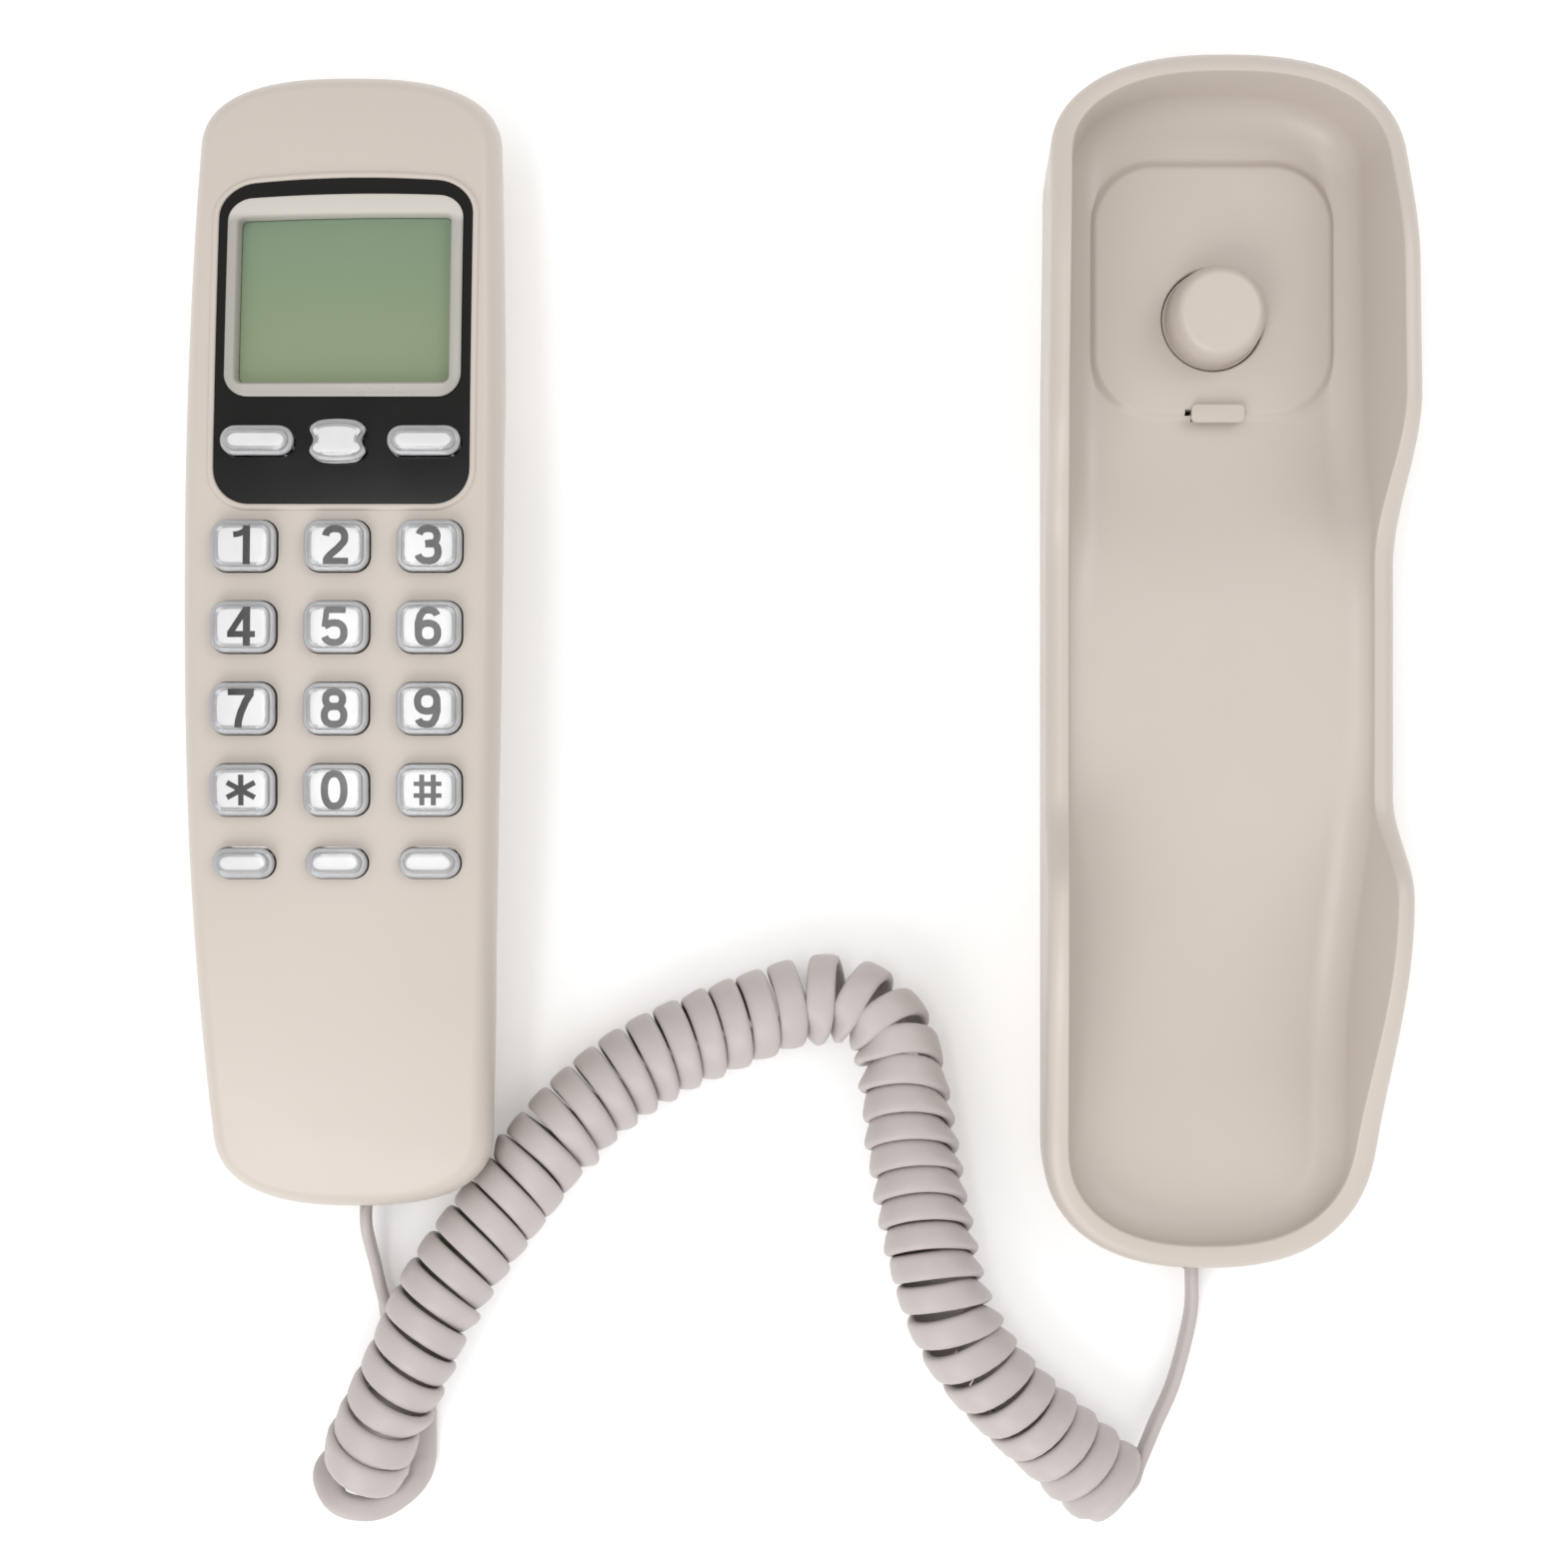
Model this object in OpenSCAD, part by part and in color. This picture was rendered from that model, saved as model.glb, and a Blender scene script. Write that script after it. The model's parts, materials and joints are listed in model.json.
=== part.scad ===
// Slimline corded wall phone: cradle base, handset with display and crystal keys, curly cord.
// Millimetres. The origin is on the back face of the base, midway between its two wall keyholes.
// +Z points away from the wall, +Y to the ear end. The handset lies beside the base, keys up.

/* [Base] */
// Overall length of the base
base_len = 211; // [200:1:230]
// Width of the base at its back face
base_foot_w = 56.8; // [52:0.1:64]
// Outward slope of the outer wall, in degrees
wall_draft = 4.25; // [2:0.25:6]
// Wall thickness of the base mouldings
base_wall = 2.2; // [1.8:0.1:2.6]
// Height of the rim beside the ear well
rim_ear = 38; // [35:0.5:42]
// Height of the rim at the low waist, where a hand takes hold of the handset
rim_waist = 24; // [23:0.5:28]
// Height of the rim beside the mouth well
rim_mouth = 34.5; // [30:0.5:38]
// Height of the rim at the mouth end
rim_end = 12; // [11:0.5:16]
// Height of the tray floor in the ear well
floor_ear = 14.8; // [14:0.2:17]
// Height of the tray floor under the waist
floor_waist = 21; // [18:0.5:22]
// Height of the tray floor in the mouth well
floor_mouth = 6.5; // [6:0.5:8]

/* [Cradle fittings] */
// Width and length of the raised ear pad
pad_w = 42.6; // [38:0.1:44]
// Height of the ear pad above the tray floor
pad_h = 1.2; // [0.6:0.1:2]
// Distance of the ear pad's centre from the ear end
pad_from_end = 37.8; // [36:0.1:40]
// Diameter of the hook button
hook_d = 17; // [14:0.5:19]
// How far the hook button stands above the pad
hook_rise = 7.8; // [6:0.2:9]
// Travel of the hook button
hook_travel = 5; // [3:0.5:5]
// Width of the reversible tab that holds the handset on a wall
tab_w = 9.2; // [7:0.1:10]

/* [Wall mounting] */
// Distance between the two wall keyholes
keyhole_spacing = 80; // [76:1:84]
// Radius of a keyhole's entry
keyhole_r = 4.5; // [4:0.1:5]
// Width of a keyhole's slot
keyhole_slot = 4.2; // [3.8:0.1:4.6]
// Thickness of the base plate
plate_t = 2; // [1.8:0.1:2.4]

/* [Handset] */
// Overall length of the handset
handset_len = 195.9; // [190:0.1:204]
// Greatest width of the handset
handset_w = 53.9; // [52:0.1:56]
// Height of the handset's face at its crown
face_top = 33.6; // [32:0.2:36]
// Height of the grip's underside
grip_under = 12.5; // [10:0.5:14]
// Wall thickness of the handset mouldings
shell_t = 2.2; // [1.8:0.1:2.4]
// Space between the base and the handset as they lie
side_gap = 91.4; // [88:0.2:96]

/* [Keys and display] */
// Width of a number key
key_w = 11; // [9:0.1:11.6]
// Height of a number key
key_h = 8.8; // [7.5:0.1:9.6]
// How far the keys stand above the face
key_rise = 2.2; // [1.6:0.1:2.8]
// Travel of a key
key_travel = 1.2; // [0.8:0.1:1.4]
// Side pitch of the keys
key_pitch_x = 15.5; // [14.5:0.1:15.8]
// Lengthwise pitch of the keys
key_pitch_y = 13.6; // [12.8:0.1:13.8]
// Width of the black display panel
panel_w = 43; // [42.5:0.1:44]
// Length of the black display panel
panel_len = 56.1; // [55:0.1:57]
// Width of the display window
window_w = 35.5; // [30:0.1:36]
// Height of the display window
window_h = 27.8; // [24:0.1:28.4]

/* [Cord] */
// Width of the flat cord
cord_w = 4.5; // [3.8:0.1:4.6]
// Thickness of the flat cord
cord_t = 2.2; // [1.8:0.1:2.4]
// Mean radius of the cord's curls
curl_r = 6.7; // [6.5:0.05:6.8]
// Number of curls, which end half a turn from where they start
curls = 44; // [41:1:45]

/* [Hidden] */

// Clearances: moulded parts side by side, a part in its seat, and moving parts
fit = 0.25;
seat = 0.1;
run = 0.3;
// Cutters reach this far past what they cut
past = 1;
// Segments of the true round features
$fn = 48;

body_colour = [0.83, 0.79, 0.75];
cord_colour = [0.76, 0.72, 0.71];
crystal_colour = [0.93, 0.94, 0.96, 0.8];
black = [0.10, 0.10, 0.10];
green_board = [0.12, 0.36, 0.20];
metal = [0.72, 0.73, 0.74];

// ---------- shared shapes ----------

// Cosine easing through a list of [y, z] knots that falls in y
function ease(y, knots, i = 0) =
    y >= knots[0][0] ? knots[0][1]
    : i >= len(knots) - 1 ? knots[len(knots) - 1][1]
    : y >= knots[i + 1][0]
        ? let (f = (knots[i][0] - y) / (knots[i][0] - knots[i + 1][0]))
          knots[i][1] + (knots[i + 1][1] - knots[i][1]) * (1 - cos(180 * f)) / 2
        : ease(y, knots, i + 1);

// n steps from a towards b, without b
function span(a, b, n) = [for (i = [0 : n - 1]) a + (b - a) * i / n];

// Points of a rounded rectangle, clockwise seen from +Z, n steps in each corner
function rounded(w, h, r, n = 4) =
    [for (q = [0 : 3], i = [0 : n])
        let (a = 90 - 90 * (q + i / n),
             cx = (q == 0 || q == 1 ? 1 : -1) * (w / 2 - r),
             cy = (q == 0 || q == 3 ? 1 : -1) * (h / 2 - r))
        [cx + r * cos(a), cy + r * sin(a)]];

module slab(w, h, r, z0, z1, n = 4)
    translate([0, 0, z0])
        linear_extrude(z1 - z0)
            polygon(rounded(w, h, r, n));

// One closed ring of a moulding's plan: superellipse ends and sides of half-width half(y), all
// moved in by d(y). side lists y along the sides, from the ear end to the mouth end.
cap_steps = 8;
function plan_ring(side, half, cap_top, cap_bottom, n, d) =
    let (yt = side[0],
         yb = side[len(side) - 1],
         k = 2 / n,
         up = [for (i = [0 : cap_steps - 1]) let (a = 90 * i / cap_steps)
            let (m = d(yt + cap_top * pow(cos(a), k)))
            [(half(yt) - m) * pow(sin(a), k), yt + (cap_top - m) * pow(cos(a), k)]],
         down = [for (i = [cap_steps - 1 : -1 : 0]) let (a = 90 * i / cap_steps)
            let (m = d(yb - cap_bottom * pow(cos(a), k)))
            [(half(yb) - m) * pow(sin(a), k), yb - (cap_bottom - m) * pow(cos(a), k)]],
         right = concat(up, [for (y = side) [half(y) - d(y), y]], down))
    concat(right, [for (i = [len(right) - 2 : -1 : 1]) [-right[i].x, right[i].y]]);

// A skin through rings of equal count, closed at both ends by strips from side to side
module skin(rings) {
    s = len(rings[0]);
    m = s / 2;
    last = (len(rings) - 1) * s;
    points = [for (r = rings, p = r) p];
    walls = [for (r = [0 : len(rings) - 2], i = [0 : s - 1])
        let (a = r * s + i, b = r * s + (i + 1) % s)
        each [[a, a + s, b + s], [a, b + s, b]]];
    strips = concat(
        [[0, 1, s - 1]],
        [for (i = [1 : m - 2]) each [[i, i + 1, s - i - 1], [i, s - i - 1, s - i]]],
        [[m - 1, m, m + 1]]);
    ends = [for (f = strips) [f[2] + last, f[1] + last, f[0] + last]];
    polyhedron(points, concat(strips, walls, ends));
}

// A tube through rings of equal count, each end closed by a fan
module tube(rings) {
    s = len(rings[0]);
    last = (len(rings) - 1) * s;
    points = [for (r = rings, p = r) p];
    walls = [for (r = [0 : len(rings) - 2], i = [0 : s - 1])
        let (a = r * s + i, b = r * s + (i + 1) % s)
        each [[a, a + s, b + s], [a, b + s, b]]];
    start = [for (i = [1 : s - 2]) [0, i, i + 1]];
    end = [for (i = [1 : s - 2]) [last, last + i + 1, last + i]];
    polyhedron(points, concat(start, walls, end));
}

// ---------- base ----------

slope = tan(wall_draft);
// The tray's inner wall leans more than the outer one, and meets the lip this far in at the waist
tray_slope = 0.121;
tray_inset = 2.25;
rim_ear_end = rim_ear - 9;
// The keyholes lie this far below the middle of the base
keyhole_drop = 0.5;
base_top = base_len / 2 + keyhole_drop;
base_bottom = keyhole_drop - base_len / 2;
ear_hi = base_top - 59;
waist_top = base_top - 87;
mouth_hi = base_bottom + 67;
waist_bottom = base_bottom + 84;
// Straight sides of the base run between these two
base_side_top = base_top - 19;
base_side_bottom = base_bottom + 23;
base_end_n = 2.4;

rim_knots = [[base_top, rim_ear_end], [base_top - 5, rim_ear_end + 0.5], [base_top - 38, rim_ear],
    [ear_hi, rim_ear], [waist_top, rim_waist], [waist_bottom, rim_waist], [mouth_hi, rim_mouth],
    [base_bottom + 6, rim_end], [base_bottom, rim_end]];
floor_knots = [[base_top - 60, floor_ear], [base_top - 96, floor_waist],
    [base_bottom + 100, floor_waist], [base_bottom + 35, floor_mouth]];
function rim_z(y) = ease(y, rim_knots);
function floor_z(y) = ease(y, floor_knots);

base_side = concat(span(base_side_top, base_top - 38, 3),
    span(base_top - 38, ear_hi, 2), span(ear_hi, waist_top, 6),
    span(waist_top, waist_bottom, 3), span(waist_bottom, mouth_hi, 5),
    span(mouth_hi, base_side_bottom, 5), [base_side_bottom]);
// The foot narrows a little beside the ear well
ear_taper = 0.5;
base_half = function(y) base_foot_w / 2 - ear_taper * min(1, max(0, (y - ear_hi) / 38));

base_cap_top = base_top - slope * rim_ear_end - base_side_top;
base_cap_bottom = base_side_bottom - base_bottom - slope * rim_end;

// A ring of the base at height z(y), moved out from the foot by out(z)
function base_ring(z, out) =
    [for (p = plan_ring(base_side, base_half, base_cap_top, base_cap_bottom, base_end_n,
            function(y) -out(z(y))))
        [p.x, p.y, z(p.y)]];

outer = function(z) slope * z;
inner = function(z) tray_slope * (z - 24) - tray_inset;
// Fillet between the tray's floor and its wall, and the lip's rounding
tray_fillet = 5.5;
lip_round = 3;

// Height of the fillet, less where the tray is shallow
function fillet_h(y) = min(tray_fillet, 0.75 * (rim_z(y) - floor_z(y)));

base_rings = [
    base_ring(function(y) floor_z(y), function(z) inner(z) - tray_fillet),
    base_ring(function(y) floor_z(y) + fillet_h(y) * 0.13, function(z) inner(z) - tray_fillet * 0.5),
    base_ring(function(y) floor_z(y) + fillet_h(y) * 0.5, function(z) inner(z) - tray_fillet * 0.13),
    base_ring(function(y) floor_z(y) + fillet_h(y), inner),
    base_ring(function(y) rim_z(y) - 0.6, inner),
    base_ring(function(y) rim_z(y), function(z) inner(z) + 0.6),
    base_ring(function(y) rim_z(y) - lip_round * 0.13, function(z) outer(z) - lip_round * 0.5),
    base_ring(function(y) rim_z(y) - lip_round * 0.5, function(z) outer(z) - lip_round * 0.13),
    base_ring(function(y) rim_z(y) - lip_round, outer),
    base_ring(function(y) 0.5, outer),
    base_ring(function(y) 0, function(z) -0.5),
    base_ring(function(y) 0, function(z) -base_wall),
    base_ring(function(y) floor_z(y) - base_wall - 1, function(z) -base_wall),
    base_ring(function(y) floor_z(y) - base_wall, function(z) -base_wall - 1)
];

pad_y = base_top - pad_from_end;
pad_len = pad_w + 1.7;
pad_r = 13;
pad_z = floor_ear + pad_h;
// The button stands below the pad's centre, and its flange is trapped under the tray floor
hook_y = pad_y - 5.3;
hook_hole_r = hook_d / 2 + 0.5;
hook_flange_r = hook_hole_r + 1.3;
hook_flange_t = 1.5;
hook_flange_top = floor_ear - base_wall - run;
tab_t = 3.1;
tab_x = 0.7;
tab_y = pad_y - pad_len / 2 + 0.1;
tab_leg_w = tab_w - 1.5;
tab_leg_t = 1.4;
tab_leg_len = 7;
// The slot is longer than the tab's leg, so that the tab can be turned round
tab_slot_w = tab_leg_w + 2;
tab_slot_x = tab_x - 0.7;
tab_top = pad_z + 1.2;

screw_r = 1.3;
base_screw_at = [for (x = [-18, 18], y = [base_top - 74, base_bottom + 54]) [x, y]];
boss_r = 3;
foot_r = 4.5;
foot_t = 1;
foot_at = [for (x = [-16.5, 16.5], y = [base_top - 21, base_bottom + 20]) [x, y]];

jack_w = 13;
jack_h = 9.4;
jack_len = 14;
jack_front = base_top - slope * rim_ear_end - 0.2;
jack_hole_w = 9.8;
jack_hole_h = 6.4;
jack_depth = 11;

// The cord leaves through a moulded strain relief in the mouth end, with its flat side upright. The
// relief slides into a slot that is open at the back.
exit_x = -1.6;
exit_z = 4.2;
grommet_h = cord_w + 2.2;
grommet_w = cord_t + 2.2;
grommet_flange = 1.2;
grommet_back = base_bottom + 3.4;
grommet_nose = base_bottom - 0.8;

module base_shell() color(body_colour) {
    difference() {
        union() {
            skin(base_rings);
            translate([0, pad_y, 0]) {
                slab(pad_w, pad_len, pad_r, floor_ear - 1, pad_z - 0.4);
                slab(pad_w - 0.8, pad_len - 0.8, pad_r - 0.4, floor_ear - 1, pad_z);
            }
            for (p = base_screw_at)
                translate([p.x, p.y, plate_t + seat])
                    cylinder(r = boss_r, h = floor_z(p.y) - base_wall - plate_t + 0.6);
        }
        translate([0, hook_y, plate_t])
            cylinder(r = hook_hole_r, h = pad_z);
        translate([tab_slot_x - tab_slot_w / 2, tab_y - (tab_leg_t + 0.5) / 2, plate_t])
            cube([tab_slot_w, tab_leg_t + 0.5, pad_z]);
        for (p = base_screw_at)
            translate([p.x, p.y, 0])
                cylinder(r = screw_r - 0.2, h = min(9, floor_z(p.y) - base_wall - 0.5));
        translate([-jack_w / 2 - fit, jack_front - jack_len, plate_t])
            cube([jack_w + 2 * fit, jack_len + 5, jack_h + fit]);
        translate([exit_x - grommet_w / 2 - fit, grommet_nose, -past])
            cube([grommet_w + 2 * fit, grommet_back - grommet_nose, exit_z + grommet_h / 2 + fit + past]);
        translate([exit_x - grommet_w / 2 - 1.2 - fit, grommet_back - grommet_flange - fit, -past])
            cube([grommet_w + 2.4 + 2 * fit, grommet_flange + 2 * fit, exit_z + grommet_h / 2 + fit + past]);
    }
}

keyhole_len = 7;

module keyhole(y) {
    translate([0, y, -past])
        cylinder(r = keyhole_r, h = plate_t + 2 * past);
    translate([-keyhole_slot / 2, y, -past])
        cube([keyhole_slot, keyhole_len, plate_t + 2 * past]);
    translate([0, y + keyhole_len, -past])
        cylinder(r = keyhole_slot / 2, h = plate_t + 2 * past);
}

post_r = 2.6;
post_h = 3;
ringer_y = base_top - 98;
ringer_r = 12;

module base_plate() color(body_colour * 0.97) {
    outline = [for (p = base_ring(function(y) 0, function(z) -base_wall - fit)) [p.x, p.y]];
    difference() {
        union() {
            linear_extrude(plate_t)
                polygon(outline);
            translate([0, hook_y, plate_t - 0.1])
                cylinder(r = post_r, h = post_h + 0.1);
            for (p = pcb_post_at)
                translate([p.x, p.y, plate_t - 0.1])
                    cylinder(r = 1.8, h = base_pcb_z - plate_t + 0.1 - seat / 2);
        }
        for (y = [-keyhole_spacing / 2, keyhole_spacing / 2])
            keyhole(y);
        for (p = base_screw_at)
            translate([p.x, p.y, 0]) {
                translate([0, 0, -past])
                    cylinder(r = screw_r + 0.3, h = plate_t + 2 * past);
                translate([0, 0, -past])
                    cylinder(r = 3.1, h = past + 1.1);
            }
        for (p = foot_at)
            translate([p.x, p.y, -past])
                cylinder(r = foot_r + fit, h = past + foot_t);
        for (i = [-2 : 2])
            translate([i * 4, ringer_y, -past])
                cylinder(r = 0.8, h = plate_t + 2 * past);
    }
}

base_pcb_z = 3.4;
pcb_t = 1.6;
base_pcb_len = 29;
base_pcb_w = 41;
base_pcb_y = hook_y + 5.5;
pcb_post_at = [for (x = [-1, 1], y = [-1, 1])
    [x * (base_pcb_w / 2 - 3.2), base_pcb_y + y * (base_pcb_len / 2 - 3.2)]];

module base_pcb() color(green_board)
    difference() {
        translate([0, base_pcb_y, 0])
            slab(base_pcb_w, base_pcb_len, 1.5, base_pcb_z, base_pcb_z + pcb_t, 2);
        translate([0, hook_y, 0])
            cylinder(r = spring_r + 1.5, h = 10);
    }

// The button's cap narrows to a flat top with a rounded edge
module hook_button() color(body_colour) {
    r = hook_d / 2;
    top = pad_z + hook_rise;
    translate([0, hook_y, 0])
        rotate_extrude()
            polygon(concat(
                [[0, hook_flange_top - hook_flange_t + 0.6],
                 [spring_r + 0.9, hook_flange_top - hook_flange_t + 0.6],
                 [spring_r + 0.9, hook_flange_top - hook_flange_t],
                 [hook_flange_r, hook_flange_top - hook_flange_t],
                 [hook_flange_r, hook_flange_top], [r, hook_flange_top], [r - 0.15, pad_z + 1]],
                [for (i = [0 : 6]) let (a = 15 * i)
                    [r - 2.4 + 2.1 * cos(a), top - 4 + 4 * sin(a)]],
                [[0, top]]));
}

spring_r = 5.2;
wire_r = 0.4;
spring_turns = 4;
spring_bottom = plate_t + wire_r + seat / 2;
spring_top = hook_flange_top - hook_flange_t + 0.6 - wire_r - seat / 2;

// Helical wire spring between the base plate and the button, around the plate's post
module hook_spring() color(metal)
    translate([0, hook_y, 0])
        tube([for (i = [0 : 8 * spring_turns])
            let (a = 45 * i,
                 z = spring_bottom + (spring_top - spring_bottom) * i / (8 * spring_turns))
            [for (k = [0 : 5]) let (b = -60 * k)
                [(spring_r + wire_r * cos(b)) * cos(a), (spring_r + wire_r * cos(b)) * sin(a),
                 z + wire_r * sin(b)]]]);

switch_x = hook_flange_r + 4;

// The hook switch stands on the board, with its lever under the button's flange
module hook_switch() {
    z = base_pcb_z + pcb_t;
    color(black)
        translate([switch_x - 3, hook_y - 5, z])
            cube([6, 10, 5.6]);
    color(metal)
        translate([hook_flange_r - 2.6, hook_y - 1.5, z + 0.1])
            cube([switch_x - 3 - hook_flange_r + 2.6, 3, 0.4]);
}

// A leg in the slot, and a head that stands over the ear pad's edge
module hook_tab() color(body_colour * 1.04) {
    translate([tab_x, tab_y, 0])
        slab(tab_w, tab_t, 0.8, pad_z + seat, tab_top, 2);
    translate([tab_x - tab_leg_w / 2, tab_y - tab_leg_t / 2, pad_z + seat - tab_leg_len])
        cube([tab_leg_w, tab_leg_t, tab_leg_len]);
}

module ringer() color(black)
    translate([0, ringer_y, plate_t + seat / 2])
        difference() {
            cylinder(r = ringer_r, h = 5);
            translate([0, 0, 1.2])
                cylinder(r = ringer_r - 1, h = 2.8);
            translate([0, 0, -past])
                cylinder(r = 9.2, h = 3);
            translate([0, 0, 3])
                cylinder(r = 1.5, h = 3);
        }

module socket_body(w, len, h, hole_w, hole_h, depth)
    difference() {
        translate([-w / 2, -len, 0])
            cube([w, len, h]);
        translate([-hole_w / 2, -depth, (h - hole_h) / 2])
            cube([hole_w, depth + past, hole_h]);
        translate([-hole_w / 4, -depth * 0.7, h - (h - hole_h) / 2 - past])
            cube([hole_w / 2, depth, past + 1.1]);
    }

// Telephone line socket in the ear end
module line_jack() color(black)
    translate([0, jack_front, plate_t + seat / 2])
        socket_body(jack_w, jack_len, jack_h, jack_hole_w, jack_hole_h, jack_depth);

module cord_grommet() color(cord_colour)
    translate([exit_x, 0, exit_z])
        difference() {
            union() {
                translate([-grommet_w / 2, grommet_nose, -grommet_h / 2])
                    cube([grommet_w, grommet_back - grommet_nose, grommet_h]);
                translate([-grommet_w / 2 - 1.2, grommet_back - grommet_flange, -grommet_h / 2])
                    cube([grommet_w + 2.4, grommet_flange, grommet_h]);
            }
            for (i = [0 : 1])
                translate([-grommet_w / 2 - past, grommet_nose + 0.9 + 1.6 * i, -grommet_h / 2 - past])
                    cube([past + 0.5, 0.7, grommet_h + 2 * past]);
        }

module pan_screw(len)
    rotate_extrude()
        polygon([[0, 0.1], [2.3, 0.1], [2.7, 0.5], [2.7, 1], [screw_r - 0.25, 1], [screw_r - 0.25, len],
            [0, len + 0.6]]);

module base_screws() color(metal)
    for (p = base_screw_at)
        translate([p.x, p.y, 0])
            pan_screw(min(8, floor_z(p.y) - base_wall - 1.4));

module rubber_feet() color([0.2, 0.2, 0.2])
    for (p = foot_at)
        translate([p.x, p.y, 0])
            cylinder(r = foot_r, h = foot_t - seat / 2);

// ---------- handset ----------

handset_x = -(base_foot_w / 2 + slope * rim_ear + side_gap + handset_w / 2);
handset_y = 5.65;
handset_top = handset_len / 2;
handset_bottom = -handset_len / 2;
// Crown of the face and radii of its bow towards the ear and the mouth end
crown_y = -18.4;
crown_ear_r = 720;
crown_mouth_r = 240;
// Widest place in plan and the radii of the bowed sides
widest_y = 27.6;
side_ear_r = 1560;
side_mouth_r = 2290;
edge_in = 3.3;
edge_down = 5.8;
handset_end_n = 2.6;
seam = 0.15;

function bow(y, mid, r_ear, r_mouth) = let (d = y - mid) d * d / (2 * (d > 0 ? r_ear : r_mouth));
function face_z(y) = face_top - bow(y, crown_y, crown_ear_r, crown_mouth_r);
function side_z(y) = face_z(y) - edge_down;
handset_half = function(y) handset_w / 2 - bow(y, widest_y, side_ear_r, side_mouth_r);

ear_y = handset_top - 33;
under_knots = [[handset_top - 53, 0], [handset_top - 77, grip_under],
    [handset_bottom + 58, grip_under], [handset_bottom + 29, 0]];
function under_z(y) = ease(y, under_knots);

handset_side = concat(span(handset_top - 14, handset_top - 53, 3),
    span(handset_top - 53, handset_top - 77, 4),
    span(handset_top - 77, handset_bottom + 58, 6),
    span(handset_bottom + 58, handset_bottom + 29, 5),
    span(handset_bottom + 29, handset_bottom + 15, 1), [handset_bottom + 15]);

// A ring moved in by d, at height z(y)
function handset_ring(d, z) =
    [for (p = plan_ring(handset_side, handset_half, 14, 15, handset_end_n,
            function(y) d))
        [p.x, p.y, z(p.y)]];

// The face's rounded edge at angle a, 0 at the seam and 90 at the face
function edge_ring(a, extra = 0) =
    handset_ring(extra + edge_in * (1 - cos(a)), function(y) side_z(y) + (edge_down - extra) * sin(a));

// The back's wall at a share f of the height from the underside to the seam
function back_ring(d, f, lift = 0) =
    handset_ring(d, function(y) under_z(y) + lift + f * (side_z(y) - seam - under_z(y) - lift));

module in_handset()
    translate([handset_x, handset_y, 0])
        children();

// A band that follows the face, from lo to hi above it, cut to a rounded rectangle
module face_slab(x, y, w, len, r, lo, hi) {
    half = len / 2 + 1;
    ys = [for (i = [0 : 12]) y - half + 2 * half * i / 12];
    intersection() {
        translate([x, 0, 0])
            rotate([90, 0, 90])
                linear_extrude(w + 2, center = true)
                    polygon(concat([for (v = ys) [v, face_z(v) + lo]],
                        [for (i = [12 : -1 : 0]) [ys[i], face_z(ys[i]) + hi]]));
        translate([x, y, 0])
            slab(w, len, r, face_z(y) + min(lo, hi) - 5, face_z(y) + max(lo, hi) + 5);
    }
}

panel_y = handset_top - 47.15;
panel_x = 0.35;
panel_t = 1.2;
panel_r = 6;
frame_w = window_w + 4.3;
frame_len = window_h + 6.6;
frame_y = panel_y + 7.3;
frame_rise = 1.3;
glass_t = 1.1;
function_y = panel_y - panel_len / 2 + 10.6;
row_y = panel_y - panel_len / 2 - 7.1;
key_r = 2.6;

// Every key: node name, column, y, width, height, corner radius
KEYS = concat(
    [for (r = [0 : 3], c = [0 : 2])
        [["key_1", "key_2", "key_3", "key_4", "key_5", "key_6", "key_7", "key_8", "key_9",
          "key_star", "key_0", "key_hash"][3 * r + c],
         c - 1, row_y - r * key_pitch_y, key_w, key_h, key_r]],
    [for (c = [0 : 2])
        [["key_delete", "key_set", "key_redial"][c],
         c - 1, row_y - 3 * key_pitch_y - 12.2, key_w - 0.6, key_h - 3.6, (key_h - 3.6) / 2 - 0.05]],
    [for (c = [0 : 2])
        [["key_up", "key_out", "key_down"][c],
         c - 1, function_y, key_w + (c == 1 ? -0.6 : 1.4), c == 1 ? 7.4 : 5.2, 2.5]]);
keys_x = -0.1;
// The keys on the panel don't quite stand in the columns below them
function_columns = [-13.5, 0, 14.4];
function key_x(k) = keys_x + (k[2] == function_y ? function_columns[k[1] + 1] : k[1] * key_pitch_x);
// Underside of the shell at a key, the lower of its two edges
function key_seat(k) = min(face_z(k[2] - k[4] / 2 - 1), face_z(k[2] + k[4] / 2 + 1)) - shell_t;
flange_t = 0.8;
flange_w = 0.7;

board_z = 20.4;
board_top = board_z + pcb_t;
mat_t = 1.2;
dome_h = 1.3;
dome_top = board_top + seat + mat_t + dome_h;

screw_ys = [handset_bottom + 47, row_y + key_h / 2 + 4.5];
screw_split = 18;

module front_key_holes()
    for (k = KEYS)
        translate([key_x(k), k[2], 0])
            slab(k[3] + 2 * fit, k[4] + 2 * fit, k[5] + fit, board_top, face_top + past, 3);

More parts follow.
